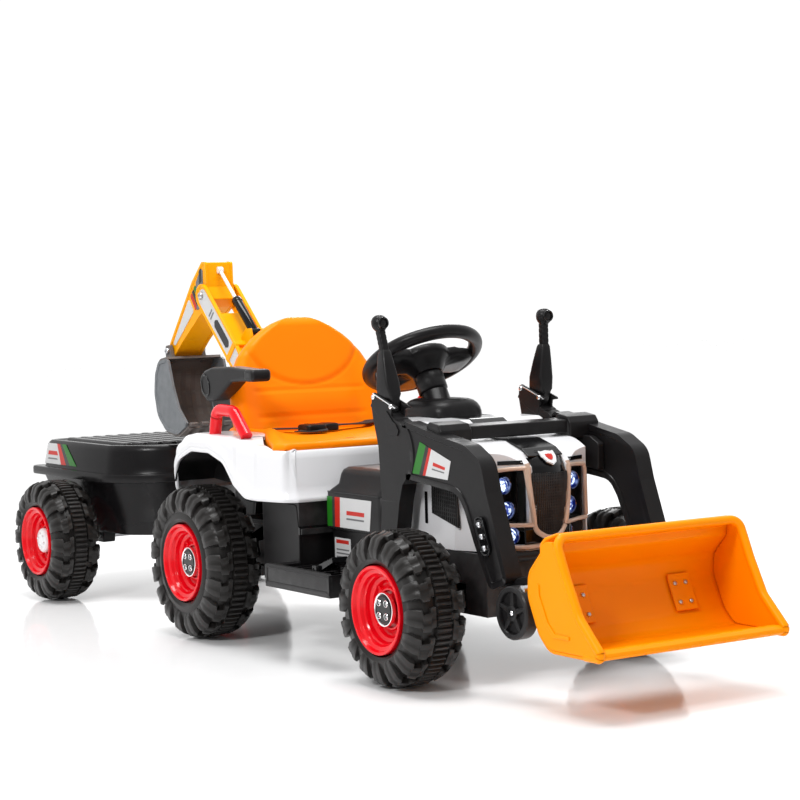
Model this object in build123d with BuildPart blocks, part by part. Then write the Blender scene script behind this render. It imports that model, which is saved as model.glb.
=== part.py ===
from build123d import *

import os
from math import cos, radians, sin

os.makedirs("parts", exist_ok=True)

# A child's electric ride-on digger: tractor with a front loader, a rear digger arm and a two-wheel trailer.
# Millimetres. +X is forward, +Y is the driver's left, +Z is up. The origin is on the ground at mid-length.

# ---------------------------------------------------------------- driving dimensions
FRONT_AXLE_X = 520.0
REAR_AXLE_X = -92.0
TRAILER_AXLE_X = -707.0
SMALL_TYRE_R = 117.0
LARGE_TYRE_R = 131.0
TYRE_Y = 211.0
TYRE_HALF_W = 48.0
LUG_SHARE = 0.0525
RIM_R = 66.0
AXLE_R = 6.0
RUNNING = 0.05
SKIN = 4.0
GAP = 0.3

KINGPIN_Y = 140.0
KINGPIN_R = 5.0
STEER_ARM = 50.0
STEER_TILT = 30.0
STEER_HUB = (278.8, 0.0, 472.4)
STEER_WHEEL_R = 90.0
STEER_RIM_R = 11.0

CHASSIS_FRONT_X = 600.0
CHASSIS_REAR_X = -262.0
CHASSIS_SLIM_Y = 112.0
CHASSIS_WIDE_Y = 186.0
CHASSIS_BOTTOM = 100.0
WIDE_BOTTOM = 115.0
BODY_BOTTOM = 248.0
BODY_FRONT_X = 190.0
SEAT_BOTTOM = 330.0
SEAT_TOP = 346.0
SEAT_HALF_W = 190.0
SEAT_FRONT_X = 172.0
FENDER_Y = 232.0
CONSOLE_Y = 140.0
CONSOLE_TOP = 304.0

HOOD_HALF_W = 112.0
HOOD_BOTTOM = 193.0

LIFT_X, LIFT_Z = 415.0, 335.0
POST_Y0, POST_Y1 = 128.0, 154.0
BOSS_R = 55.0
TONGUE_Y0 = 116.5
TILT_X, TILT_Z = 746.0, 160.0
GUARD_X, GUARD_Z = 730.0, 127.0
GUARD_R = 38.0
LEVER_X, LEVER_Z = 396.0, 388.0
LEVER_Y = 141.0
BUCKET_HALF_W = 172.0

TRAILER_FLANGE_Z = 231.0
TRAILER_LID_Z = 248.0
TRAILER_LID_TOP = 302.0
TRAILER_BOX_BOTTOM = 126.0
HITCH_X = -240.0
DRAWBAR_Z0, DRAWBAR_Z1 = 113.0, 125.7

TURRET_X = -222.0
TURRET_Z = 348.0
BOOM_X, BOOM_Z = -222.0, 410.0
ELBOW_X, ELBOW_Z = -405.0, 585.0
TIP_X, TIP_Z = -546.0, 480.0
CYL_X, CYL_Z = -270.0, 515.0
ROD_X, ROD_Z = -395.0, 632.0


# ---------------------------------------------------------------- helpers
def save(part, name):
    part.label = name
    export_step(part, f"parts/{name}.step")


def plate(points, y0, y1, corner=0.0):
    """A side-view outline of (x, z) points given thickness from y0 to y1."""
    with BuildPart() as made:
        with BuildSketch(Plane.XZ.offset(-y1)) as outline:
            Polygon(*points, align=None)
            if corner > 0:
                fillet(outline.vertices(), corner)
        extrude(amount=y1 - y0)
    return made.part


def bar(x, y, z, radius, length, direction=(0, 1, 0)):
    """A round bar centred on (x, y, z) along a direction."""
    with BuildPart() as made:
        with BuildSketch(Plane(origin=(x, y, z), z_dir=direction)):
            Circle(radius)
        extrude(amount=length / 2, both=True)
    return made.part


def block(x0, x1, y0, y1, z0, z1):
    """A plain block between two corners."""
    with BuildPart() as made:
        with BuildSketch(Plane.XY.offset(z0)):
            with Locations(((x0 + x1) / 2, (y0 + y1) / 2)):
                Rectangle(x1 - x0, y1 - y0)
        extrude(amount=z1 - z0)
    return made.part


def span(side, inner, outer):
    """The two y limits, in order, of something on one side of the centre plane."""
    return sorted((side * inner, side * outer))


def mirrored(part):
    """The same piece on the other side of the centre plane."""
    return mirror(part, about=Plane.XZ)


def pair(part):
    """A left piece and its mirror image as one group of two solids."""
    return Compound(children=[Part(part.wrapped), Part(mirrored(part).wrapped)])


# ---------------------------------------------------------------- wheels
def make_tyre(radius, axle_x, side):
    """A hollow tyre: ribbed centre band, and block lugs that wrap over both shoulders."""
    lugs = 18 if radius > 125 else 16
    carcass = radius - 9
    with BuildPart() as lug:
        with BuildSketch(Plane.YZ):
            Polygon(
                (10, carcass - 3), (10, radius - 1), (30, radius - 3), (42, radius - 14),
                (TYRE_HALF_W, radius - 30), (44, radius - 34), (38, carcass - 12), (28, carcass - 4),
                align=None,
            )
        extrude(amount=LUG_SHARE * radius, both=True)
    with BuildPart() as tyre:
        with BuildSketch(Plane.YZ):
            with BuildLine():
                Polyline(
                    (-34, RIM_R), (-45, RIM_R + 5), (-TYRE_HALF_W + 3, RIM_R + 22), (-40, carcass - 9),
                    (-28, carcass), (-9, carcass + 2), (-8, radius), (8, radius), (9, carcass + 2),
                    (28, carcass), (40, carcass - 9), (TYRE_HALF_W - 3, RIM_R + 22), (45, RIM_R + 5),
                    (34, RIM_R), (34, RIM_R + 4), (40, RIM_R + 8), (40, RIM_R + 22), (36, carcass - 12),
                    (26, carcass - 5), (-26, carcass - 5), (-36, carcass - 12), (-40, RIM_R + 22),
                    (-40, RIM_R + 8), (-34, RIM_R + 4), close=True,
                )
            make_face()
        revolve(axis=Axis.Y)
        for hand in (1, -1):
            for turn in range(lugs):
                angle = 360 / lugs * (turn + 0.25 * hand)
                shape = lug.part if hand == 1 else mirror(lug.part, about=Plane.XZ)
                add(shape.rotate(Axis.Y, angle))
    return Pos(axle_x, side * TYRE_Y, radius) * tyre.part


def make_rim(radius, axle_x, side):
    """A deep stepped dish with its hub boss, bored for the axle."""
    bore = AXLE_R + RUNNING
    edge = RIM_R - 0.1
    with BuildPart() as rim:
        with BuildSketch(Plane.YZ):
            Polygon(
                (-44, edge), (46, edge), (47, 62.5), (41, 58), (37, 51), (21, 45), (15, 40), (15, 25),
                (23, 25), (23, bore), (-30, bore), (-30, 16), (8, 16), (8, 42), (16, 49), (32, 55),
                (35, 61.5), (-44, 61.5), align=None,
            )
        revolve(axis=Axis.Y)
    turned = rim.part if side == 1 else mirror(rim.part, about=Plane.XZ)
    return Pos(axle_x, side * TYRE_Y, radius) * turned


def make_hub_cap(radius, axle_x, side, dots):
    """A round cap over the axle end with raised screw heads."""
    with BuildPart() as cap:
        with BuildSketch(Plane.YZ):
            Polygon((23.1, 0), (23.1, 24.5), (26, 24.5), (29, 21), (29, 0), align=None)
        revolve(axis=Axis.Y)
        with BuildSketch(Plane.XZ.offset(-28.5)):
            with PolarLocations(14, dots, start_angle=45):
                Circle(3.4)
        extrude(amount=-2.5)
    turned = cap.part if side == 1 else mirror(cap.part, about=Plane.XZ)
    return Pos(axle_x, side * TYRE_Y, radius) * turned


WHEELS = (
    ("front_right", SMALL_TYRE_R, FRONT_AXLE_X, -1, 4),
    ("front_left", SMALL_TYRE_R, FRONT_AXLE_X, 1, 4),
    ("rear_right", LARGE_TYRE_R, REAR_AXLE_X, -1, 4),
    ("rear_left", LARGE_TYRE_R, REAR_AXLE_X, 1, 4),
    ("trailer_right", SMALL_TYRE_R, TRAILER_AXLE_X, -1, 6),
    ("trailer_left", SMALL_TYRE_R, TRAILER_AXLE_X, 1, 6),
)
for place, wheel_r, wheel_x, wheel_side, cap_dots in WHEELS:
    save(make_tyre(wheel_r, wheel_x, wheel_side), f"tyre_{place}")
    save(make_rim(wheel_r, wheel_x, wheel_side), f"rim_{place}")
    save(make_hub_cap(wheel_r, wheel_x, wheel_side, cap_dots), f"hub_cap_{place}")

AXLE_LENGTH = 2 * (TYRE_Y + 22.5)
save(bar(REAR_AXLE_X, 0, LARGE_TYRE_R, AXLE_R, AXLE_LENGTH), "rear_axle")
save(bar(TRAILER_AXLE_X, 0, SMALL_TYRE_R, AXLE_R, AXLE_LENGTH), "trailer_axle")

# ---------------------------------------------------------------- front axle and steering
EAR_LOW, EAR_HIGH = 92.0, 142.0
with BuildPart() as front_axle_beam:
    add(block(FRONT_AXLE_X - 11, FRONT_AXLE_X + 11, -124, 124, 106, 128))
    for side in (-1, 1):
        ear = span(side, KINGPIN_Y - 20, KINGPIN_Y + 9)
        add(block(FRONT_AXLE_X - 11, FRONT_AXLE_X + 11, *ear, EAR_LOW, 100))
        add(block(FRONT_AXLE_X - 11, FRONT_AXLE_X + 11, *ear, 134, EAR_HIGH))
        web = span(side, KINGPIN_Y - 21, KINGPIN_Y - 15)
        add(block(FRONT_AXLE_X - 11, FRONT_AXLE_X + 11, *web, EAR_LOW, EAR_HIGH))
        with Locations((FRONT_AXLE_X, side * KINGPIN_Y, SMALL_TYRE_R)):
            Cylinder(KINGPIN_R + RUNNING, 60, mode=Mode.SUBTRACT)
save(front_axle_beam.part, "front_axle_beam")

with BuildPart() as knuckle:
    add(block(FRONT_AXLE_X - 9, FRONT_AXLE_X + 9, KINGPIN_Y - 9, KINGPIN_Y + 12, 100.4, 133.6))
    add(bar(FRONT_AXLE_X, KINGPIN_Y, 117, KINGPIN_R, 56, (0, 0, 1)))
    add(bar(FRONT_AXLE_X, (KINGPIN_Y + TYRE_Y + 22.5) / 2, 117, AXLE_R, TYRE_Y + 22.5 - KINGPIN_Y))
    add(block(FRONT_AXLE_X - STEER_ARM - 7, FRONT_AXLE_X - 8, KINGPIN_Y - 7, KINGPIN_Y + 5, 124, 131))
    add(bar(FRONT_AXLE_X - STEER_ARM, KINGPIN_Y - 1, 119, 4, 20, (0, 0, 1)))
save(knuckle.part, "knuckle_left")
save(mirrored(knuckle.part), "knuckle_right")

# The tie rod has slotted eyes and a fork that the steering crank's pin works in.
TIE_X = FRONT_AXLE_X - STEER_ARM
with BuildPart() as tie_rod:
    add(block(TIE_X - 7, TIE_X + 7, -KINGPIN_Y - 8, KINGPIN_Y + 8, 112, 120))
    add(block(438, TIE_X, -12, 12, 112, 120))
    with Locations((444, 0, 116)):
        Box(24, 9.4, 12, mode=Mode.SUBTRACT)
    for y in (-KINGPIN_Y + 1, KINGPIN_Y - 1):
        with BuildSketch(Plane.XY.offset(110)):
            with Locations((TIE_X, y)):
                SlotOverall(13, 8.8)
        extrude(amount=12, mode=Mode.SUBTRACT)
save(tie_rod.part, "tie_rod")

tilt = radians(STEER_TILT)
AXIS_UP = (-sin(tilt), 0, cos(tilt))
hub_plane = Plane(origin=STEER_HUB, x_dir=(cos(tilt), 0, sin(tilt)), z_dir=AXIS_UP)
SHAFT_LENGTH = 360.0
CRANK = 21.5
with BuildPart() as steering_wheel:
    with BuildSketch(Plane(origin=STEER_HUB, x_dir=AXIS_UP, z_dir=(0, -1, 0))):
        with Locations((0, STEER_WHEEL_R)):
            Circle(STEER_RIM_R)
    revolve(axis=Axis(STEER_HUB, AXIS_UP))
    with BuildSketch(hub_plane.offset(-26)):
        Circle(24)
    with BuildSketch(hub_plane.offset(2)):
        Circle(42)
    loft()
    with BuildSketch(hub_plane.offset(-4)):
        for angle in (90, 180, 270):
            with Locations(Rot(0, 0, angle) * Pos(56, 0)):
                Rectangle(52, 26)
    extrude(amount=8)
    with BuildSketch(hub_plane.offset(-3)):
        Circle(19.4)
    extrude(amount=6, mode=Mode.SUBTRACT)
    with BuildSketch(hub_plane.offset(-SHAFT_LENGTH)):
        Circle(AXLE_R)
    extrude(amount=SHAFT_LENGTH - 20)
    with BuildSketch(hub_plane.offset(-SHAFT_LENGTH)):
        with Locations((-CRANK / 2, 0)):
            SlotOverall(CRANK + 16, 16)
    extrude(amount=6)
    with BuildSketch(hub_plane.offset(-SHAFT_LENGTH - 22)):
        with Locations((-CRANK, 0)):
            Circle(4)
    extrude(amount=24)
save(steering_wheel.part, "steering_wheel")

with BuildPart() as horn_button:
    with BuildSketch(hub_plane.offset(-0.5)):
        Circle(19)
    extrude(amount=7)
    fillet(horn_button.edges().group_by(Axis(STEER_HUB, AXIS_UP))[-1], 3)
save(horn_button.part, "horn_button")

# ---------------------------------------------------------------- chassis
FOOT_X0, FOOT_X1 = 160.0, 357.0
FOOT_Y = 235.0
PEDAL_X, PEDAL_Z = 304.0, 153.5
SHOULDER_X0, SHOULDER_X1 = 365.0, 408.0
with BuildPart() as chassis_pan:
    add(block(CHASSIS_REAR_X, CHASSIS_FRONT_X, -CHASSIS_SLIM_Y, CHASSIS_SLIM_Y, CHASSIS_BOTTOM, 192))
    add(block(70, BODY_FRONT_X - 2, -CHASSIS_WIDE_Y, CHASSIS_WIDE_Y, WIDE_BOTTOM, BODY_BOTTOM - GAP))
    # swing pedestal for the digger at the back
    with BuildSketch(Plane.XY.offset(188)):
        with Locations((TURRET_X, 0)):
            Rectangle(80, 120)
    with BuildSketch(Plane.XY.offset(TURRET_Z)):
        with Locations((TURRET_X, 0)):
            Rectangle(76, 76)
    loft()
    # shoulders that carry the loader posts
    for side in (-1, 1):
        add(block(SHOULDER_X0, SHOULDER_X1, *span(side, CHASSIS_SLIM_Y + 1, POST_Y1 - 2), 180, 204.8))
        add(block(SHOULDER_X0, SHOULDER_X1, *span(side, CHASSIS_SLIM_Y - 4, POST_Y1 - 2), 176, 192))
    # hollow inside, open at the top
    add(block(-176, CHASSIS_FRONT_X - 6, -CHASSIS_SLIM_Y + 5, CHASSIS_SLIM_Y - 5, CHASSIS_BOTTOM + 5, 260),
        mode=Mode.SUBTRACT)
    add(block(76, BODY_FRONT_X - 8, -CHASSIS_WIDE_Y + 5, CHASSIS_WIDE_Y - 5, WIDE_BOTTOM + 5, 260),
        mode=Mode.SUBTRACT)
    # window for the front axle beam and the tie rod
    add(block(452, 546, -CHASSIS_SLIM_Y - 1, CHASSIS_SLIM_Y + 1, 104, 145), mode=Mode.SUBTRACT)
    # ledge across the front of the seat base
    add(block(BODY_FRONT_X - 4, BODY_FRONT_X + 6, -CHASSIS_WIDE_Y, CHASSIS_WIDE_Y, 196, 205))
    # footboards with a raised rim, tread bars and ears for the pedal
    for side in (-1, 1):
        add(block(FOOT_X0, FOOT_X1, *span(side, CHASSIS_SLIM_Y - 2, FOOT_Y), WIDE_BOTTOM, 150))
        tray = span(side, CONSOLE_Y + 2, FOOT_Y - 6)
        add(block(BODY_FRONT_X - 2, FOOT_X1 - 6, *tray, 144, 151), mode=Mode.SUBTRACT)
        for step in range(7):
            x = BODY_FRONT_X + 6 + 22 * step
            add(block(x, x + 9, *tray, 143, 146.5))
    for y0, y1 in ((-229.5, -225), (-189, -185)):
        add(block(PEDAL_X - 6, PEDAL_X + 6, y0, y1, 143, 160))
    with Locations(Pos(PEDAL_X, -207, PEDAL_Z) * Rot(90, 0, 0)):
        Cylinder(4 + RUNNING, 48, mode=Mode.SUBTRACT)
    with Locations(Pos(REAR_AXLE_X, 0, LARGE_TYRE_R) * Rot(90, 0, 0)):
        Cylinder(AXLE_R, 400, mode=Mode.SUBTRACT)
    # swivel bore for the turret, and the slot and pin that hold the trailer's drawbar
    with Locations((TURRET_X, 0, TURRET_Z)):
        Cylinder(12 + RUNNING, 44, mode=Mode.SUBTRACT)
    add(block(CHASSIS_REAR_X - 1, -200, -60, 60, DRAWBAR_Z0 - 0.5, DRAWBAR_Z1 + 0.8), mode=Mode.SUBTRACT)
    add(bar(HITCH_X, 0, 120, 4, 20, (0, 0, 1)))
save(chassis_pan.part, "chassis_pan")

# Battery, and the two motor gearboxes that turn the rear wheels.
save(block(96, 161, -75.5, 75.5, CHASSIS_BOTTOM + 5.2, 199.2), "battery")

with BuildPart() as gearbox:
    add(block(REAR_AXLE_X - 24, REAR_AXLE_X + 44, 62, 104, 106, 176))
    fillet(gearbox.edges().filter_by(Axis.Y), 10)
    add(bar(REAR_AXLE_X + 24, 30, 146, 19, 66))
    with Locations(Pos(REAR_AXLE_X, 80, LARGE_TYRE_R) * Rot(90, 0, 0)):
        Cylinder(AXLE_R + RUNNING, 60, mode=Mode.SUBTRACT)
save(pair(gearbox.part), "drive_gearboxes")

# ---------------------------------------------------------------- white rear body with wheel arches
def body_solid(shrink):
    """The seat body's outer form from its plan and its side view, taken in by a wall thickness."""
    plan = [(-178 + shrink, FENDER_Y - shrink), (60, FENDER_Y - shrink), (111, 224 - shrink),
            (BODY_FRONT_X - 8 - shrink, 208 - shrink), (BODY_FRONT_X + 4 - shrink, 190 - shrink)]
    side = [(-178 + shrink, 220), (-178 + shrink, 292), (-152 + shrink, 330 - shrink), (-116, 350 - shrink),
            (60, 350 - shrink), (150, SEAT_BOTTOM - GAP - shrink),
            (SEAT_FRONT_X - shrink, SEAT_BOTTOM - GAP - shrink), (BODY_FRONT_X - shrink, BODY_BOTTOM),
            (BODY_FRONT_X - shrink, 220)]
    with BuildPart() as made:
        with BuildSketch(Plane.XY.offset(BODY_BOTTOM - (10 if shrink > 0 else 0))):
            Polygon(*plan, *[(x, -y) for x, y in reversed(plan)], align=None)
        extrude(amount=150)
        with BuildSketch(Plane.XZ.offset(-300)):
            Polygon(*side, align=None)
        extrude(amount=600, mode=Mode.INTERSECT)
    return made.part


SEAT_PLAN = [(-111.5, 148), (0, 150), (150, 206), (SEAT_FRONT_X, SEAT_HALF_W)]


def seat_prism(grow, z0, z1):
    """The seat's plan, grown all round and given height from z0 to z1."""
    with BuildPart() as made:
        with BuildSketch(Plane.XY.offset(z0)):
            Polygon(*SEAT_PLAN, *[(x, -y) for x, y in reversed(SEAT_PLAN)], align=None)
            if grow > 0:
                offset(amount=grow, kind=Kind.INTERSECTION)
        extrude(amount=z1 - z0)
    return made.part


ARCH_INNER_Y = 150.0
ABOVE_BODY = 400.0
with BuildPart() as body_hollow:
    add(body_solid(SKIN))
    add(seat_prism(GAP + SKIN, SEAT_BOTTOM - GAP - SKIN, ABOVE_BODY), mode=Mode.SUBTRACT)

with BuildPart() as rear_body:
    add(body_solid(0))
    fillet(rear_body.edges().filter_by(lambda e: abs(e.center().Y) > 229 and e.center().Z > 270), 12)
    add(seat_prism(GAP, SEAT_BOTTOM - GAP, ABOVE_BODY), mode=Mode.SUBTRACT)
    add(body_hollow.part, mode=Mode.SUBTRACT)
    for side in (-1, 1):
        add(plate([(-176, BODY_BOTTOM), (-176, 290), (-152, 324), (96, 324), (96, BODY_BOTTOM)],
                  *span(side, ARCH_INNER_Y - SKIN, ARCH_INNER_Y)))
        with BuildSketch(Plane.XZ.offset(-side * 200)):
            with Locations((-44, 244)):
                Ellipse(122, 73)
        extrude(amount=49, both=True, mode=Mode.SUBTRACT)
save(rear_body.part, "rear_body")

# ---------------------------------------------------------------- seat, belt, armrests, hand rails
BACK_TILT = 12.5
ARM_X, ARM_Z = -101.0, 428.0
back_lean = radians(BACK_TILT)
back_plane = Plane(origin=(-83, 0, 350), x_dir=(0, 1, 0), z_dir=(cos(back_lean), 0, sin(back_lean)))
with BuildPart() as seat:
    add(seat_prism(0, SEAT_BOTTOM, SEAT_TOP))
    # side bolsters
    for side in (-1, 1):
        add(plate([(-100, 340), (-100, 355), (60, 355), (100, SEAT_TOP), (100, 340)], *span(side, 125, 147), 3))
    with BuildSketch(back_plane) as back_outline:
        with BuildLine():
            Line((-147, -14), (147, -14))
            Line((147, -14), (149, 40))
            Spline((149, 40), (143, 92), (128, 122), (106, 146), (70, 178), (0, 196),
                   (-70, 178), (-106, 146), (-128, 122), (-143, 92), (-149, 40))
            Line((-149, 40), (-147, -14))
        make_face()
    extrude(amount=22, both=True)
    fillet(seat.edges().filter_by(lambda e: e.length > 420 and e.center().Z > 400), 12)
    for side in (-1, 1):
        with Locations(Pos(ARM_X, side * 141, ARM_Z) * Rot(90, 0, 0)):
            Cylinder(6 + RUNNING, 20, mode=Mode.SUBTRACT)
save(seat.part, "seat")

with BuildPart() as seat_belt:
    with BuildSketch(Plane.XY.offset(SEAT_TOP + GAP)):
        Polygon((-30, -124), (-8, -124), (24, -66), (2, -60), align=None)
        Polygon((2, -20), (24, -26), (-6, 124), (-28, 124), align=None)
    extrude(amount=3)
    with BuildSketch(Plane.XY.offset(SEAT_TOP + GAP)):
        with Locations((13, -43)):
            RectangleRounded(40, 66, 8)
    extrude(amount=13)
save(seat_belt.part, "seat_belt")

with BuildPart() as armrest:
    add(plate([(-124, 401), (-98, 404), (-60, 421), (-25, 438), (57, 441), (57, 457), (-40, 462),
               (-105, 461), (-138, 455), (-150, 438), (-148, 416)], 150.4, 186))
    fillet(armrest.edges().filter_by(Axis.Y), 5)
    add(bar(ARM_X, 143.5, ARM_Z, 6, 16))
save(armrest.part, "armrest_left")
save(mirrored(armrest.part), "armrest_right")

RAIL_Y = 208.0
RAIL_FOOT_Z = 350.2
with BuildPart() as side_rail:
    with BuildLine():
        FilletPolyline((-56, RAIL_Y, RAIL_FOOT_Z), (-46, RAIL_Y, 393), (14, RAIL_Y, 391),
                       (52, RAIL_Y, RAIL_FOOT_Z), radius=15)
    with BuildSketch(Plane(origin=(-56, RAIL_Y, RAIL_FOOT_Z), z_dir=(10, 0, 42.8))):
        Circle(8.5)
    sweep()
    add(block(-90, 90, 190, 230, 330, RAIL_FOOT_Z), mode=Mode.SUBTRACT)
save(pair(side_rail.part), "side_rails")

# ---------------------------------------------------------------- hood, grille, lamps
HOOD_SIDE = [(345, 190), (345, 384), (452, 382), (498, 356), (545, 353), (588, 338), (608, 318), (614, 298),
             (606, 215), (601, HOOD_BOTTOM), (345, HOOD_BOTTOM)]
HOOD_PLAN = [(345, HOOD_HALF_W), (520, HOOD_HALF_W), (584, 89), (592, 62), (608, 34), (616, 0)]


def hood_solid(shrink):
    """The hood's outer form, from its side view and its plan, taken in by a wall thickness."""
    half = [(x - (shrink if x > 400 else -shrink * 3), max(y - shrink, 0)) for x, y in HOOD_PLAN]
    plan = half + [(x, -y) for x, y in reversed(half[:-1])]
    side = [(345 - shrink, 150), (345 - shrink, 384 - shrink), (452 - shrink, 382 - shrink),
            (498 - shrink, 356 - shrink), (545 - shrink, 353 - shrink), (588 - shrink, 338 - shrink),
            (608 - shrink, 318 - shrink), (614 - shrink, 298), (606 - shrink, 215), (601 - shrink, 150)]
    with BuildPart() as made:
        with BuildSketch(Plane.XY.offset(HOOD_BOTTOM - (20 if shrink > 0 else 0))):
            Polygon(*plan, align=None)
        extrude(amount=220)
        with BuildSketch(Plane.XZ.offset(-150)):
            Polygon(*side, align=None)
        extrude(amount=300, mode=Mode.INTERSECT)
    return made.part


with BuildPart() as hood:
    add(hood_solid(0))
    fillet(hood.edges().filter_by(lambda e: e.center().Z > 350 and abs(e.center().Y) > 100), 14)
    add(hood_solid(SKIN), mode=Mode.SUBTRACT)
    for side in (-1, 1):
        add(block(540, 640, *span(side, 37, 86), 202, 313), mode=Mode.SUBTRACT)
    with BuildSketch(Plane.YZ.offset(560)):
        with BuildLine():
            Polyline((-33, 330), (-29, 290), (-18, 225))
            ThreePointArc((-18, 225), (0, 208), (18, 225))
            Polyline((18, 225), (29, 290), (33, 330), (-33, 330))
        make_face()
    extrude(amount=80, mode=Mode.SUBTRACT)
    # clearance for the steering shaft and the cowl behind
    add(block(330, 400, -54, 54, 150, 400), mode=Mode.SUBTRACT)
save(hood.part, "hood")

with BuildPart() as grille:
    with BuildSketch(Plane.YZ.offset(578)):
        with BuildLine():
            Polyline((-32.5, 329.5), (-28.5, 290), (-17.6, 225))
            ThreePointArc((-17.6, 225), (0, 208.6), (17.6, 225))
            Polyline((17.6, 225), (28.5, 290), (32.5, 329.5), (-32.5, 329.5))
        make_face()
    extrude(amount=40)
    add(plate([(570, 190), (588, 190), (597, 215), (606, 298), (600, 316), (582, 336), (590, 345),
               (618, 322), (621, 298), (613, 215), (607, 190)], -60, 60), mode=Mode.INTERSECT)
save(grille.part, "grille")

LAMPS = ((64, 290), (58, 253), (50, 214))
with BuildPart() as lamp_housing:
    add(block(552, 578, 37.5, 84, 202.5, 312.5))
    for y, z in LAMPS:
        with Locations(Pos(572, y, z) * Rot(0, 90, 0)):
            Cylinder(12.5, 24, mode=Mode.SUBTRACT)
    add(block(566, 590, 40, 81, 236, 309), mode=Mode.SUBTRACT)
save(pair(lamp_housing.part), "lamp_housings")

with BuildPart() as lamp:
    with BuildSketch(Plane.YZ.offset(560.4)):
        for spot in LAMPS:
            with Locations(spot):
                Circle(11)
    extrude(amount=14)
    fillet(lamp.edges().group_by(Axis.X)[-1], 6)
save(pair(lamp.part), "lamp_lenses")

# Dash behind the hood with its domed binnacle and the fixed steering tower.
with BuildPart() as cowl:
    add(block(268, 344.7, -66, 66, CONSOLE_TOP + GAP, 384))
    add(block(268, 399.5, -53.5, 53.5, 384, 411))
    fillet(cowl.edges().filter_by(lambda e: e.center().Z > 400), 14)
    with BuildSketch(hub_plane.offset(-96)):
        Circle(24)
    extrude(amount=68)
    with BuildSketch(hub_plane.offset(-300)):
        Circle(AXLE_R + RUNNING)
    extrude(amount=300, mode=Mode.SUBTRACT)
    add(block(273, 340, -61, 61, 250, 379), mode=Mode.SUBTRACT)
save(cowl.part, "cowl")

# ---------------------------------------------------------------- pedal and centre console
with BuildPart() as pedal:
    add(plate([(PEDAL_X - 4, 151.5), (PEDAL_X + 6, 151.5), (350, 169), (348, 175), (PEDAL_X - 4, 159)],
              -224, -190))
    add(bar(PEDAL_X, -207, PEDAL_Z, 4, 43))
save(pedal.part, "pedal")

# The console straddles the chassis tunnel: a wide upper box with bevelled edges on a narrower base.
with BuildPart() as centre_console:
    add(block(BODY_FRONT_X + 7, 361, -CONSOLE_Y, CONSOLE_Y, 204, CONSOLE_TOP))
    chamfer(centre_console.edges().group_by(Axis.Z)[-1].filter_by(lambda e: e.center().X < 350), 14)
    add(block(BODY_FRONT_X + 8, 361, -CONSOLE_Y + 4, CONSOLE_Y - 4, 150.3, 204))
    add(block(BODY_FRONT_X + 12, 357, -CONSOLE_Y + 8, CONSOLE_Y - 8, 140, CONSOLE_TOP - 18),
        mode=Mode.SUBTRACT)
    # clearance for the tunnel below and for the hood in front
    add(block(BODY_FRONT_X, 370, -CHASSIS_SLIM_Y - GAP, CHASSIS_SLIM_Y + GAP, 140, 192 + GAP),
        mode=Mode.SUBTRACT)
    add(block(344.6, 370, -115, 115, 140, 320), mode=Mode.SUBTRACT)
save(centre_console.part, "centre_console")

# ---------------------------------------------------------------- loader posts, arms, crossbar, levers
with BuildPart() as post:
    add(plate([(367, 402), (380, 355), (386, 263), (381, 205), (424, 205), (436, 262), (LIFT_X, 300),
               (LIFT_X, 390.5)], POST_Y0, POST_Y1))
    add(bar(LIFT_X, (POST_Y0 + POST_Y1) / 2, LIFT_Z, BOSS_R, POST_Y1 - POST_Y0))
    # slot and bores for the hand lever
    add(block(350, 421, 132, 150, 374, 410), mode=Mode.SUBTRACT)
    with Locations(Pos(LEVER_X, LEVER_Y, LEVER_Z) * Rot(90, 0, 0)):
        Cylinder(4 + RUNNING, 40, mode=Mode.SUBTRACT)
    with Locations(Pos(LIFT_X, LEVER_Y, LIFT_Z) * Rot(90, 0, 0)):
        Cylinder(8 + RUNNING, 40, mode=Mode.SUBTRACT)
save(pair(post.part), "loader_posts")

with BuildPart() as arm:
    with BuildSketch(Plane.XZ.offset(-156)):
        with BuildLine():
            Polyline((451.5, 378), (458, 386), (552, 368), (613, 357))
            ThreePointArc((613, 357), (648, 334), (664, 292))
            Polyline((664, 292), (712, 166), (668, 152), (632, 216), (610, 262))
            ThreePointArc((610, 262), (592, 283), (560, 290))
            Polyline((560, 290), (468, 299), (440, 299), (440, 378), (451.5, 378))
        make_face()
    extrude(amount=28)
    with Locations(Pos(LIFT_X, 142, LIFT_Z) * Rot(90, 0, 0)):
        Cylinder(BOSS_R + 0.5, 30, mode=Mode.SUBTRACT)
    # inner tongue back to the lift pivot
    add(plate([(404, 318), (404, 352), (430, 362), (560, 352), (560, 306), (430, 308)], TONGUE_Y0, 127.6, 5))
    add(plate([(520, 306), (520, 352), (580, 344), (580, 300)], TONGUE_Y0, 130))
    add(bar(LIFT_X, (TONGUE_Y0 + 152) / 2, LIFT_Z, 8, 152 - TONGUE_Y0))
    # foot that carries the guard wheel and the bucket pivot
    add(plate([(672, 150), (712, 172), (738, 178), (758, 170), (760, 150), (744, 118), (716, 116), (700, 130)],
              123, 139, 4))
    with Locations(Pos(TILT_X, 131, TILT_Z) * Rot(90, 0, 0)):
        Cylinder(6 + RUNNING, 40, mode=Mode.SUBTRACT)
    add(bar(GUARD_X, 151, GUARD_Z, 5, 30))
save(pair(arm.part), "loader_arms")

with BuildPart() as loader_crossbar:
    add(block(505, 527, -127.8, 127.8, 360, 380))
    for side in (-1, 1):
        add(block(501, 531, *span(side, 116, 158), 378.2, 384))
        add(block(501, 531, *span(side, 116, 127.8), 358, 384))
save(loader_crossbar.part, "loader_crossbar")

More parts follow.
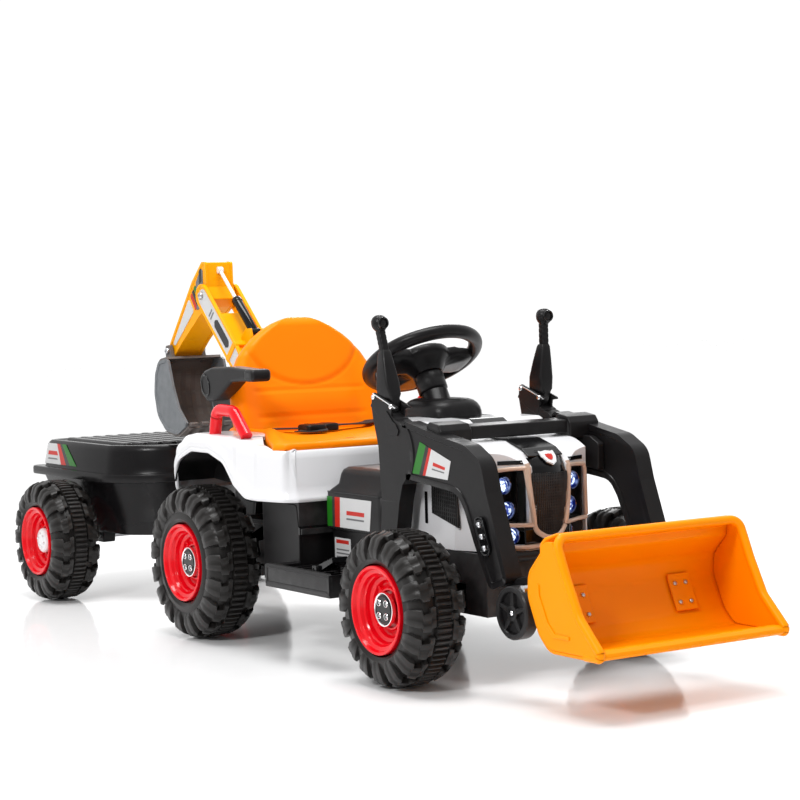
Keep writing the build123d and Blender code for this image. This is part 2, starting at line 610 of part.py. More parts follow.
LEVER_SECTIONS = ((4, 0, 18, 16.6), (28, 2, 36, 16.8), (52, 4, 34, 26), (102, 12, 18, 16))
with BuildPart() as lever_left:
    add(bar(LEVER_X, LEVER_Y, LEVER_Z, 11, 17))
    add(bar(LEVER_X, LEVER_Y, LEVER_Z, 4, 25))
    for rise, shift, wide, deep in LEVER_SECTIONS:
        with BuildSketch(Plane.XY.offset(LEVER_Z + rise)):
            with Locations((LEVER_X + shift, LEVER_Y)):
                RectangleRounded(wide, deep, 4)
    loft(ruled=True)
    with BuildSketch(Plane.XY.offset(LEVER_Z + 101)):
        with Locations((LEVER_X + 13, LEVER_Y)):
            RectangleRounded(12, 12, 4)
    extrude(amount=45)
    with Locations((LEVER_X + 15, LEVER_Y, LEVER_Z + 149)):
        Sphere(12.5)
save(lever_left.part, "lever_left")

LEAN_BACK = -18.0
lean_axis = Axis((LEVER_X, 0, LEVER_Z), (0, 1, 0))
save(mirrored(lever_left.part).rotate(lean_axis, LEAN_BACK), "lever_right")


def make_guard_wheel(side):
    """A small five-spoke wheel that keeps the bucket off the ground."""
    with BuildPart() as wheel:
        with BuildSketch(Plane.XZ):
            Circle(GUARD_R)
            Circle(GUARD_R - 8, mode=Mode.SUBTRACT)
            Circle(11)
            for spoke in range(5):
                with Locations(Rot(0, 0, spoke * 72 + 90) * Pos(20, 0)):
                    Rectangle(26, 9)
            Circle(5 + RUNNING, mode=Mode.SUBTRACT)
        extrude(amount=11, both=True)
    return Pos(GUARD_X, side * 154, GUARD_Z) * wheel.part


save(make_guard_wheel(1), "guard_wheel_left")
save(make_guard_wheel(-1), "guard_wheel_right")

# ---------------------------------------------------------------- loader bucket
BUCKET_WALL = 5.0
with BuildPart() as bucket:
    add(plate([(833, 248), (822, 246), (811, 238), (811, 221), (781, 188), (779, 157), (802, 108), (823, 86),
               (930, 86), (931, 91), (885, 134), (858, 186)], -BUCKET_HALF_W, BUCKET_HALF_W))
    add(plate([(838, 258), (826, 240), (817, 235), (817, 219), (787, 186), (785, 158), (807, 111), (826, 92),
               (940, 93), (940, 258)], -BUCKET_HALF_W + BUCKET_WALL, BUCKET_HALF_W - BUCKET_WALL),
        mode=Mode.SUBTRACT)
    for tooth in range(8):
        y = -147 + 42 * tooth
        add(block(922, 934, y - 9, y + 9, 84, 90), mode=Mode.SUBTRACT)
save(bucket.part, "bucket")

with BuildPart() as bracket:
    add(plate([(777.5, 150), (777.5, 178), (TILT_X, 176), (734, 170), (734, 150), (TILT_X, 146)], 100, 120))
    add(bar(TILT_X, 121, TILT_Z, 6, 40))
save(pair(bracket.part), "bucket_brackets")

# ---------------------------------------------------------------- trailer
ARC_FRONT_X = -480.0


def trailer_outline(inset, rear_x):
    """The trailer's plan: square at the rear, one wide arc at the front."""
    half = 165 - inset
    with BuildSketch(mode=Mode.PRIVATE) as outline:
        with BuildLine():
            Polyline((-599, half), (rear_x, half), (rear_x, -half), (-599, -half))
            ThreePointArc((-599, -half), (ARC_FRONT_X - inset, 0), (-599, half))
        make_face()
    return outline.sketch


with BuildPart() as trailer_box:
    with BuildSketch(Plane.XY.offset(TRAILER_FLANGE_Z)):
        add(trailer_outline(0, -930))
    extrude(amount=TRAILER_LID_Z - TRAILER_FLANGE_Z)
    with BuildSketch(Plane.XY.offset(TRAILER_BOX_BOTTOM)):
        add(trailer_outline(37, -880))
    with BuildSketch(Plane.XY.offset(TRAILER_FLANGE_Z + 1)):
        add(trailer_outline(16, -908))
    loft()
    with BuildSketch(Plane.XY.offset(TRAILER_BOX_BOTTOM + 5)):
        add(trailer_outline(42, -875))
    with BuildSketch(Plane.XY.offset(TRAILER_LID_Z + 1)):
        add(trailer_outline(20, -904))
    loft(mode=Mode.SUBTRACT)
    # two axle blocks under the floor
    for side in (-1, 1):
        add(block(TRAILER_AXLE_X - 16, TRAILER_AXLE_X + 16, *span(side, 96, 120), 104, TRAILER_BOX_BOTTOM + 2))
    with Locations(Pos(TRAILER_AXLE_X, 0, SMALL_TYRE_R) * Rot(90, 0, 0)):
        Cylinder(AXLE_R, 300, mode=Mode.SUBTRACT)
save(trailer_box.part, "trailer_box")

with BuildPart() as trailer_lid:
    with BuildSketch(Plane.XY.offset(TRAILER_LID_Z + 0.1)):
        add(trailer_outline(13, -890))
    with BuildSketch(Plane.XY.offset(TRAILER_LID_TOP)):
        add(trailer_outline(17, -882))
    loft()
    with BuildSketch(Plane.XY.offset(TRAILER_LID_Z)):
        add(trailer_outline(18, -885))
    with BuildSketch(Plane.XY.offset(TRAILER_LID_TOP - 4)):
        add(trailer_outline(22, -877))
    loft(mode=Mode.SUBTRACT)
    for rib in range(-3, 4):
        add(block(-860, -560, rib * 34 - 10, rib * 34 + 10, TRAILER_LID_TOP - 1, TRAILER_LID_TOP + 3))
save(trailer_lid.part, "trailer_lid")

with BuildPart() as trailer_drawbar:
    add(block(-640, HITCH_X, -12, 12, DRAWBAR_Z0, DRAWBAR_Z1))
    with Locations((HITCH_X, 0, (DRAWBAR_Z0 + DRAWBAR_Z1) / 2)):
        Cylinder(12, DRAWBAR_Z1 - DRAWBAR_Z0)
        Cylinder(4 + RUNNING, 40, mode=Mode.SUBTRACT)
save(trailer_drawbar.part, "trailer_drawbar")

# ---------------------------------------------------------------- digger
with BuildPart() as digger_turret:
    with BuildSketch(Plane.XY.offset(TURRET_Z + GAP)):
        with Locations((TURRET_X, 0)):
            Circle(38)
    extrude(amount=20)
    for y0, y1 in ((-35, -24.3), (24.3, 35)):
        add(plate([(-252, 362), (-192, 362), (-202, 416), (-212, 428), (-232, 428), (-242, 416)], y0, y1, 3))
    with Locations(Pos(BOOM_X, 0, BOOM_Z) * Rot(90, 0, 0)):
        Cylinder(7 + RUNNING, 90, mode=Mode.SUBTRACT)
    add(bar(TURRET_X, 0, 340, 12, 20, (0, 0, 1)))
save(digger_turret.part, "digger_turret")

BOOM_HALF_DEPTH = 22.0
CHEEK_IN = 29.8
with BuildPart() as boom:
    boom_run = Vector(ELBOW_X - BOOM_X, 0, ELBOW_Z - BOOM_Z)
    along = boom_run.normalized()
    across = Vector(along.Z, 0, -along.X)
    foot = Vector(BOOM_X, 0, BOOM_Z)
    elbow = Vector(ELBOW_X, 0, ELBOW_Z)

    def edge_point(start, run, offset):
        spot = start + along * run + across * offset
        return (spot.X, spot.Z)

    add(plate([edge_point(foot, -8, 16), edge_point(foot, -14, 0), edge_point(foot, -8, -16),
               edge_point(foot, 90, -18), edge_point(foot, 90, 18)], -23.8, 23.8))
    add(plate([edge_point(foot, 60, -19), edge_point(foot, 90, -BOOM_HALF_DEPTH),
               edge_point(elbow, 2, -BOOM_HALF_DEPTH), edge_point(elbow, 16, -14), edge_point(elbow, 20, 0),
               edge_point(elbow, 16, 14), edge_point(elbow, 2, BOOM_HALF_DEPTH),
               edge_point(foot, 90, BOOM_HALF_DEPTH), edge_point(foot, 60, 19)], -37, 37))
    with Locations(Pos(ELBOW_X, 0, ELBOW_Z) * Rot(90, 0, 0)):
        Cylinder(66, 2 * CHEEK_IN, mode=Mode.SUBTRACT)
    add(bar(ELBOW_X, 0, ELBOW_Z, 6, 70))
    add(bar(BOOM_X, 0, BOOM_Z, 7, 69))
    # two ears on top that hold the cylinder
    for y0, y1 in ((-14, -9.3), (9.3, 14)):
        add(plate([edge_point(foot, 70, 16), edge_point(foot, 118, 16), (CYL_X - 9, CYL_Z + 7),
                   (CYL_X + 9, CYL_Z + 7), (CYL_X + 12, CYL_Z - 8)], y0, y1))
    with Locations(Pos(CYL_X, 0, CYL_Z) * Rot(90, 0, 0)):
        Cylinder(4 + RUNNING, 40, mode=Mode.SUBTRACT)
save(boom.part, "boom")

with BuildPart() as stick:
    add(plate([(-398, 648), (-398, 600), (-384, 578), (-400, 562), (-430, 546), (-500, 498), (-540, 466),
               (-556, 476), (-553, 494), (-455, 612), (-414, 648)], -29, 29))
    # open channel in the rear of the upper half
    add(plate([(-420, 640), (-412, 600), (-470, 548), (-500, 538), (-458, 592)], -24, 24), mode=Mode.SUBTRACT)
    with Locations(Pos(ELBOW_X, 0, ELBOW_Z) * Rot(90, 0, 0)):
        Cylinder(6 + RUNNING, 80, mode=Mode.SUBTRACT)
    add(block(-415, -390, -7, 7, 618, 650), mode=Mode.SUBTRACT)
    with Locations(Pos(TIP_X, 0, TIP_Z) * Rot(90, 0, 0)):
        Cylinder(4 + RUNNING, 80, mode=Mode.SUBTRACT)
save(stick.part, "stick")

with BuildPart() as digger_bucket:
    add(plate([(-508, 467), (-541, 462), (-556, 436), (-561, 398), (-550, 356), (-516, 328), (-472, 322),
               (-434, 340), (-432, 346), (-462, 372), (-484, 414)], -62, 62))
    add(plate([(-495, 475), (-512, 461), (-537, 457), (-551, 434), (-556, 398), (-546, 359), (-514, 333),
               (-472, 327), (-428, 348), (-420, 400)], -57, 57), mode=Mode.SUBTRACT)
    for side in (-1, 1):
        add(plate([(-556, 474), (-556, 492), (-538, 492), (-528, 462), (-545, 456), (-552, 462)],
                  *span(side, 29.4, 38)))
    add(bar(TIP_X, 0, TIP_Z, 4, 76))
    for tooth in range(5):
        y = -48 + 24 * tooth
        add(plate([(-440, 334), (-422, 342), (-424, 346), (-440, 344)], y - 7, y + 7))
save(digger_bucket.part, "digger_bucket")

rod_run = Vector(ROD_X - CYL_X, 0, ROD_Z - CYL_Z)
rod_dir = rod_run.normalized()
low_plane = Plane(origin=(CYL_X, 0, CYL_Z), z_dir=(rod_dir.X, rod_dir.Y, rod_dir.Z))
BARREL_LENGTH = 86.0
BORE_START = 10.0
ROD_START = 30.0
ROD_R = 3.5
with BuildPart() as cylinder_barrel:
    with BuildSketch(low_plane.offset(4)):
        Circle(8.5)
    extrude(amount=BARREL_LENGTH)
    add(bar(CYL_X, 0, CYL_Z, 8, 17.6))
    add(bar(CYL_X, 0, CYL_Z, 4, 28))
    with BuildSketch(low_plane.offset(BORE_START)):
        Circle(ROD_R + RUNNING)
    extrude(amount=BARREL_LENGTH, mode=Mode.SUBTRACT)
save(cylinder_barrel.part, "cylinder_barrel")

with BuildPart() as cylinder_rod:
    with BuildSketch(low_plane.offset(ROD_START)):
        Circle(ROD_R)
    extrude(amount=rod_run.length - ROD_START)
    add(bar(ROD_X, 0, ROD_Z, 5, 10))
save(cylinder_rod.part, "cylinder_rod")
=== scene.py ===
import math
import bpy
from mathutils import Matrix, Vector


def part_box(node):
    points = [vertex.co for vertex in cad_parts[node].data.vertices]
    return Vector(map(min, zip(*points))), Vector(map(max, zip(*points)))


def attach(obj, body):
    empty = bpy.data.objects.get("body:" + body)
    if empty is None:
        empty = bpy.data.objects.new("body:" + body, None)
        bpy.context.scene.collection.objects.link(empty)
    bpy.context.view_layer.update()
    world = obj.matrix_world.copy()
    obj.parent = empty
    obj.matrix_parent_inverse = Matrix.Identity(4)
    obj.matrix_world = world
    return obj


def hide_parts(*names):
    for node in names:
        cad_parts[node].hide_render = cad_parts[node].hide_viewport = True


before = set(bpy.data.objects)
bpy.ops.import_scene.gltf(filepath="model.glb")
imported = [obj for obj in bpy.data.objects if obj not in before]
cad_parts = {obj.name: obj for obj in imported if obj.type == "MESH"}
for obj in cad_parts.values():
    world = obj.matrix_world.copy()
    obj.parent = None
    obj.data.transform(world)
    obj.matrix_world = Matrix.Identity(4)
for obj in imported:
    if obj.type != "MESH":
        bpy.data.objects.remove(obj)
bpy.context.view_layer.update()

from types import SimpleNamespace

import bmesh
import bpy
from mathutils import Matrix, Vector

# The object is a child's ride-on digger: tractor, front loader, rear digger arm and a trailer.
# Outlines are in millimetres in the row frame, and MM turns them into Blender's metres.
MM = 0.001
TRACTOR = "tractor"
SIDES = ((-1, "right"), (1, "left"))


def node_box(node):
    """A CAD node's box in millimetres."""
    low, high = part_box(node)
    low, high = low / MM, high / MM
    mid = (low + high) / 2
    return SimpleNamespace(x0=low.x, x1=high.x, y0=low.y, y1=high.y, z0=low.z, z1=high.z,
                           cx=mid.x, cy=mid.y, cz=mid.z)


# ------------------------------------------------------------------ materials
def noise(mat, coords, scale, detail=2.0):
    """A noise texture in the piece's own space."""
    node = mat.node_tree.nodes.new("ShaderNodeTexNoise")
    node.inputs["Scale"].default_value = scale
    node.inputs["Detail"].default_value = detail
    mat.node_tree.links.new(coords.outputs["Object"], node.inputs["Vector"])
    return node


def named(mat, kind):
    """The first node of a kind in a material."""
    return next(n for n in mat.node_tree.nodes if n.type == kind)


def plastic(name, color, rough, grain=1400.0, bump=0.12, coat=0.0, vary=0.05, wear=0.0, specular=0.5):
    """Moulded plastic: fine spark-eroded grain, cloudy gloss, slow colour drift and paler rubbed edges."""
    mat = bpy.data.materials.new(name)
    mat.use_nodes = True
    nodes, links = mat.node_tree.nodes, mat.node_tree.links
    shader = nodes["Principled BSDF"]
    shader.inputs["Specular IOR Level"].default_value = specular
    shader.inputs["Coat Weight"].default_value = coat
    shader.inputs["Coat Roughness"].default_value = 0.12
    coords = nodes.new("ShaderNodeTexCoord")
    drift = noise(mat, coords, 7.0, 4.0)
    tint = nodes.new("ShaderNodeMix")
    tint.data_type = "RGBA"
    tint.inputs["A"].default_value = (*[c * (1 - vary) for c in color], 1)
    tint.inputs["B"].default_value = (*[min(1, c * (1 + vary)) for c in color], 1)
    links.new(drift.outputs["Fac"], tint.inputs["Factor"])
    color_out = tint.outputs["Result"]
    if wear > 0:
        geometry = nodes.new("ShaderNodeNewGeometry")
        edge = nodes.new("ShaderNodeMapRange")
        edge.inputs["From Min"].default_value = 0.52
        edge.inputs["From Max"].default_value = 0.62
        links.new(geometry.outputs["Pointiness"], edge.inputs["Value"])
        rub = noise(mat, coords, 60.0)
        amount = nodes.new("ShaderNodeMath")
        amount.operation = "MULTIPLY"
        links.new(edge.outputs["Result"], amount.inputs[0])
        links.new(rub.outputs["Fac"], amount.inputs[1])
        worn = nodes.new("ShaderNodeMix")
        worn.data_type = "RGBA"
        worn.inputs["B"].default_value = (*[min(1, c + wear) for c in color], 1)
        links.new(amount.outputs["Value"], worn.inputs["Factor"])
        links.new(color_out, worn.inputs["A"])
        color_out = worn.outputs["Result"]
    links.new(color_out, shader.inputs["Base Color"])
    cloud = noise(mat, coords, 30.0, 6.0)
    gloss = nodes.new("ShaderNodeMapRange")
    gloss.inputs["To Min"].default_value = max(0.02, rough - 0.05)
    gloss.inputs["To Max"].default_value = rough + 0.08
    links.new(cloud.outputs["Fac"], gloss.inputs["Value"])
    links.new(gloss.outputs["Result"], shader.inputs["Roughness"])
    fine = noise(mat, coords, grain, 3.0)
    skin = nodes.new("ShaderNodeBump")
    skin.inputs["Strength"].default_value = bump
    skin.inputs["Distance"].default_value = 0.0004
    links.new(fine.outputs["Fac"], skin.inputs["Height"])
    links.new(skin.outputs["Normal"], shader.inputs["Normal"])
    return mat


def metal(name, color, rough, brush=(1, 1, 1)):
    """Plated or drawn metal with fine brushing and faint spotting."""
    mat = plastic(name, color, rough, grain=500.0, bump=0.08, vary=0.03)
    nodes, links = mat.node_tree.nodes, mat.node_tree.links
    nodes["Principled BSDF"].inputs["Metallic"].default_value = 1.0
    stretch = nodes.new("ShaderNodeMapping")
    stretch.inputs["Scale"].default_value = brush
    coords = named(mat, "TEX_COORD")
    fine = next(n for n in nodes if n.type == "TEX_NOISE" and n.inputs["Scale"].default_value == 500.0)
    links.new(coords.outputs["Object"], stretch.inputs["Vector"])
    links.new(stretch.outputs["Vector"], fine.inputs["Vector"])
    return mat


def woven(name, color):
    """Belt webbing: ribs across the band, with threads between them."""
    mat = plastic(name, color, 0.75, grain=2500.0, bump=0.3, vary=0.12)
    nodes, links = mat.node_tree.nodes, mat.node_tree.links
    coords = named(mat, "TEX_COORD")
    ribs = nodes.new("ShaderNodeTexWave")
    ribs.inputs["Scale"].default_value = 260.0
    ribs.inputs["Distortion"].default_value = 1.5
    links.new(coords.outputs["Object"], ribs.inputs["Vector"])
    weave = nodes.new("ShaderNodeBump")
    weave.inputs["Strength"].default_value = 0.6
    weave.inputs["Distance"].default_value = 0.0008
    links.new(ribs.outputs["Color"], weave.inputs["Height"])
    grain = next(n for n in nodes if n.type == "BUMP" and n != weave)
    links.new(weave.outputs["Normal"], grain.inputs["Normal"])
    return mat


def lens(name, color, glow):
    """A clear lamp lens with the cold light of its LED behind it."""
    mat = plastic(name, color, 0.05, grain=300.0, bump=0.15, coat=0.6, vary=0.02)
    nodes, links = mat.node_tree.nodes, mat.node_tree.links
    shader = nodes["Principled BSDF"]
    coords = named(mat, "TEX_COORD")
    flute = nodes.new("ShaderNodeTexVoronoi")
    flute.inputs["Scale"].default_value = 190.0
    links.new(coords.outputs["Object"], flute.inputs["Vector"])
    shine = nodes.new("ShaderNodeValToRGB")
    shine.color_ramp.elements[0].color = (0.75, 0.88, 1.0, 1)
    shine.color_ramp.elements[0].position = 0.16
    shine.color_ramp.elements[1].position = 0.62
    shine.color_ramp.elements[1].color = (0.010, 0.025, 0.14, 1)
    links.new(flute.outputs["Distance"], shine.inputs["Fac"])
    links.new(shine.outputs["Color"], shader.inputs["Emission Color"])
    shader.inputs["Emission Strength"].default_value = glow
    return mat


BLACK = plastic("black_plastic", (0.0070, 0.0064, 0.0068), 0.30, bump=0.22, wear=0.05, vary=0.15,
                specular=0.17)
BLACK_GLOSS = plastic("black_gloss", (0.003, 0.003, 0.0034), 0.14, bump=0.05, coat=0.25, specular=0.2)
BLACK_TRAILER = plastic("trailer_plastic", (0.0055, 0.0050, 0.0055), 0.22, bump=0.12, wear=0.03, vary=0.1,
                        specular=0.19)
TYRE = plastic("tyre_plastic", (0.0105, 0.0092, 0.0085), 0.33, grain=900.0, bump=0.35, wear=0.06, vary=0.2,
               specular=0.22)
WHITE = plastic("white_gloss", (0.70, 0.70, 0.715), 0.20, bump=0.03, coat=0.3, vary=0.015, specular=0.35)
CREAM = plastic("cream_trim", (0.60, 0.43, 0.33), 0.22, bump=0.05, coat=0.3, vary=0.05)
ORANGE = plastic("seat_orange", (1.0, 0.225, 0.0), 0.36, grain=1100.0, bump=0.10, vary=0.04, specular=0.10)
BUCKET_ORANGE = plastic("bucket_orange", (0.94, 0.28, 0.0), 0.33, grain=1100.0, bump=0.10, vary=0.05,
                        specular=0.10)
YELLOW = plastic("digger_yellow", (0.90, 0.36, 0.0), 0.30, bump=0.06, vary=0.06, specular=0.13)
RED = plastic("rim_red", (0.72, 0.001, 0.008), 0.16, bump=0.03, coat=0.25, vary=0.08, specular=0.2)
GREEN = plastic("label_green", (0.012, 0.15, 0.008), 0.35, bump=0.02, specular=0.3)
LABEL_RED = plastic("label_red", (0.50, 0.018, 0.010), 0.35, bump=0.02, specular=0.3)
LABEL_WHITE = plastic("label_white", (0.56, 0.56, 0.56), 0.38, bump=0.02, vary=0.02, specular=0.3)
LABEL_GREY = plastic("label_grey", (0.14, 0.14, 0.145), 0.38, bump=0.02, specular=0.3)
BUCKET_GREY = plastic("bucket_grey", (0.115, 0.098, 0.090), 0.38, bump=0.2, wear=0.06, vary=0.15,
                      specular=0.25)
SIDE_GREY = plastic("side_grey", (0.085, 0.095, 0.105), 0.30, bump=0.12, wear=0.10, vary=0.1, specular=0.3)
HUB_WHITE = plastic("hub_white", (0.74, 0.75, 0.76), 0.2, bump=0.04, coat=0.4)
CHROME = metal("chrome_plate", (0.86, 0.86, 0.87), 0.10)
STEEL = metal("drawn_steel", (0.55, 0.56, 0.58), 0.28, brush=(1, 0.05, 1))
WEBBING = woven("belt_webbing", (0.018, 0.015, 0.015))
LENS = lens("led_lens", (0.02, 0.03, 0.12), 2.6)
MIRROR_CUP = metal("reflector", (0.10, 0.12, 0.22), 0.12)


# ------------------------------------------------------------------ mesh helpers
def piece(name, verts, faces, body, material, **finish):
    """A mesh piece from millimetre points, with its finish modifiers, riding on a body."""
    mesh = bpy.data.meshes.new(name)
    mesh.from_pydata([Vector(v) * MM for v in verts], [], faces)
    made = bmesh.new()
    made.from_mesh(mesh)
    bmesh.ops.remove_doubles(made, verts=made.verts, dist=2e-6)
    bmesh.ops.recalc_face_normals(made, faces=made.faces)
    made.to_mesh(mesh)
    made.free()
    return dress(name, mesh, body, material, **finish)


def soften(obj, width, angle):
    """Rounds the edges that turn by more than an angle in degrees."""
    soft = obj.modifiers.new("soft_edges", "BEVEL")
    soft.width = width * MM
    soft.segments = 3
    soft.limit_method = "ANGLE"
    soft.angle_limit = math.radians(angle)
    soft.harden_normals = True


def dress(name, mesh, body, material, replaces=None, slot=None, bevel=0.0, thick=0.0, crease=38.0):
    """Links a finished mesh as a piece: smooth shading, modifiers, material and the body it rides on."""
    mesh.shade_smooth()
    mesh.set_sharp_from_angle(angle=math.radians(crease))
    mesh.materials.append(material)
    obj = bpy.data.objects.new(name, mesh)
    bpy.context.scene.collection.objects.link(obj)
    if thick:
        wall = obj.modifiers.new("wall", "SOLIDIFY")
        wall.thickness = thick * MM
        wall.offset = -1
    if bevel:
        soften(obj, bevel, 32)
    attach(obj, body)
    if replaces:
        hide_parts(replaces)
    return obj


def rounded(points, radius, steps=5):
    """An outline with each corner turned into an arc. A radius list gives one radius for each corner."""
    count = len(points)
    radii = radius if isinstance(radius, (list, tuple)) else [radius] * count
    out = []
    for i, spot in enumerate(points):
        here = Vector(spot)
        back = Vector(points[i - 1]) - here
        ahead = Vector(points[(i + 1) % count]) - here
        if radii[i] <= 0 or back.length < 1e-6 or ahead.length < 1e-6:
            out.append(tuple(here))
            continue
        turn = back.angle(ahead)
        if turn > math.pi - 0.02:
            out.append(tuple(here))
            continue
        run = min(radii[i] / math.tan(turn / 2), back.length * 0.48, ahead.length * 0.48)
        start, end = here + back.normalized() * run, here + ahead.normalized() * run
        for k in range(steps + 1):
            t = k / steps
            out.append(tuple(start * (1 - t) ** 2 + here * 2 * t * (1 - t) + end * t * t))
    return out


def inset_outline(points, reach):
    """A closed outline moved inwards by reach, with its sharp corners held back."""
    count = len(points)
    area = sum(points[i - 1][0] * points[i][1] - points[i][0] * points[i - 1][1] for i in range(count))
    turn = 1 if area > 0 else -1
    out = []
    for i, spot in enumerate(points):
        before = Vector(spot) - Vector(points[i - 1])
        after = Vector(points[(i + 1) % count]) - Vector(spot)
        in_a = Vector((-before.y, before.x)).normalized() * turn
        in_b = Vector((-after.y, after.x)).normalized() * turn
        middle = in_a + in_b
        if middle.length < 1e-6:
            middle = in_a
        middle.normalize()
        out.append(tuple(Vector(spot) + middle * (reach / max(0.75, middle.dot(in_b)))))
    return out


def slab(name, outline, y0, y1, body, material, corner=0.0, bevel=1.2, border=0.0, sink=0.0, **finish):
    """A side-view outline of (x, z) points, from y0 to y1. border and sink raise a rim round each face."""
    points = rounded(outline, corner) if corner else list(outline)
    layers = [(points, y0), (points, y1)]
    if border:
        lip, floor_edge = inset_outline(points, border), inset_outline(points, border + min(sink, 1.0))
        layers = [(floor_edge, y0 + sink), (lip, y0), (points, y0), (points, y1), (lip, y1),
                  (floor_edge, y1 - sink)]
    made = bmesh.new()
    rows = [[made.verts.new(Vector((x, y, z)) * MM) for x, z in ring] for ring, y in layers]
    made.faces.new(rows[0])
    made.faces.new(rows[-1])
    for low, high in zip(rows, rows[1:]):
        for i in range(len(points)):
            j = (i + 1) % len(points)
            made.faces.new((low[i], low[j], high[j], high[i]))
    bmesh.ops.remove_doubles(made, verts=made.verts, dist=2e-6)
    bmesh.ops.recalc_face_normals(made, faces=made.faces)
    mesh = bpy.data.meshes.new(name)
    made.to_mesh(mesh)
    made.free()
    return dress(name, mesh, body, material, bevel=bevel, **finish)


def pair(side, inner, outer):
    """The lower and upper y of something that runs from inner to outer on one side of the middle."""
    return sorted((side * inner, side * outer))


def first_side(side, node, slot):
    """A CAD node that two mirrored pieces stand for is replaced by the first of them."""
    return {"replaces": node, "slot": slot} if side < 0 else {}


def about(centre, radius, start, end, count):
    """Points of an arc in side view, with its angles in degrees."""
    return [(centre[0] + radius * math.cos(math.radians(start + (end - start) * k / count)),
             centre[1] + radius * math.sin(math.radians(start + (end - start) * k / count)))
            for k in range(count + 1)]


def track(points, value):
    """Straight-line interpolation in a list of (place, value) points."""
    for (a, va), (b, vb) in zip(points, points[1:]):
        if value <= b:
            return va + (vb - va) * max(0.0, (value - a) / (b - a))
    return points[-1][1]


AXES = {"X": (1, 0, 0), "Y": (0, 1, 0), "Z": (0, 0, 1)}


def lathe(name, profile, centre, body, material, side=1, segments=96, axis="Y", **finish):
    """A turned piece: (along, radius) points swept about an axis through centre."""
    along = Vector(AXES.get(axis, axis)) * side
    across = along.orthogonal().normalized()
    third = along.cross(across).normalized()
    verts = []
    for i in range(segments):
        a = 2 * math.pi * i / segments
        out = across * math.cos(a) + third * math.sin(a)
        verts += [tuple(Vector(centre) + along * run + out * r) for run, r in profile]
    return piece(name, verts, grid_faces(segments, len(profile), wrap_rows=True), body, material, **finish)


def grid_faces(rows, cols, wrap_rows=False, wrap_cols=False, start=0):
    """Quads of a grid of points kept row by row."""
    faces = []
    for i in range(rows if wrap_rows else rows - 1):
        for k in range(cols if wrap_cols else cols - 1):
            a, b = i, (i + 1) % rows
            c, d = k, (k + 1) % cols
            faces.append((start + a * cols + c, start + b * cols + c, start + b * cols + d,
                          start + a * cols + d))
    return faces


def loft(name, rings, body, material, bottom=True, top=True, **finish):
    """Closed rings of equal point counts joined into a skin, with its ends filled."""
    count = len(rings[0])
    verts = [p for ring in rings for p in ring]
    faces = grid_faces(len(rings), count, wrap_cols=True)
    if bottom:
        faces.append(tuple(range(count)))
    if top:
        faces.append(tuple(range((len(rings) - 1) * count, len(rings) * count)))
    return piece(name, verts, faces, body, material, **finish)


def round_rect(x0, x1, y0, y1, corner):
    """A rectangle with round corners."""
    return rounded([(x0, y0), (x1, y0), (x1, y1), (x0, y1)], corner)


def tube(name, path, radius, body, material, sides=16, **finish):
    """A round bar along a list of points."""
    points = [Vector(p) for p in path]
    rings, up = [], Vector((0, 0, 1))
    for i, p in enumerate(points):
        ahead = points[min(i + 1, len(points) - 1)] - points[max(i - 1, 0)]
        ahead.normalize()
        right = ahead.cross(up if abs(ahead.z) < 0.95 else Vector((0, 1, 0))).normalized()
        over = right.cross(ahead)
        ring = []
        for k in range(sides):
            a = 2 * math.pi * k / sides
            ring.append(tuple(p + right * radius * math.cos(a) + over * radius * math.sin(a)))
        rings.append(ring)
    return loft(name, rings, body, material, **finish)


def smoothstep(low, high, value):
    """0 below low, 1 above high, and a soft ramp between them."""
    t = max(0.0, min(1.0, (value - low) / (high - low)))
    return t * t * (3 - 2 * t)


def table(points, value):
    """Smooth interpolation in a short list of (place, value) points."""
    if value <= points[0][0]:
        return points[0][1]
    for (a, va), (b, vb) in zip(points, points[1:]):
        if value <= b:
            return va + (vb - va) * smoothstep(a, b, value)
    return points[-1][1]


def screw(name, spot, direction, radius, body, material):
    """A cross-head screw: a domed head with a sunk cross, facing a direction."""
    to_world = Vector(direction).to_track_quat("Z", "X").to_matrix().to_4x4()
    made = bmesh.new()
    rings = ((0.0, 1.0), (0.35, 0.98), (0.62, 0.8), (0.72, 0.5), (0.74, 0.42), (0.5, 0.36), (0.45, 0.0))
    sides = 24
    grid = []
    for height, share in rings:
        row = []
        for k in range(sides):
            a = 2 * math.pi * k / sides
            cross = 1.0 if share > 0.45 or share == 0 else (1.15 if k % 6 < 2 else 0.45)
            r = share * radius * cross
            row.append(made.verts.new((r * math.cos(a), r * math.sin(a), height * radius)))
        grid.append(row)
    for lower, upper in zip(grid, grid[1:]):
        for k in range(sides):
            j = (k + 1) % sides
            made.faces.new((lower[k], lower[j], upper[j], upper[k]))
    bmesh.ops.remove_doubles(made, verts=made.verts, dist=1e-4)
    bmesh.ops.recalc_face_normals(made, faces=made.faces)
    bmesh.ops.transform(made, matrix=Matrix.Scale(MM, 4) @ Matrix.Translation(Vector(spot)) @ to_world,
                        verts=made.verts)
    mesh = bpy.data.meshes.new(name)
    made.to_mesh(mesh)
    made.free()
    return dress(name, mesh, body, material, crease=50)


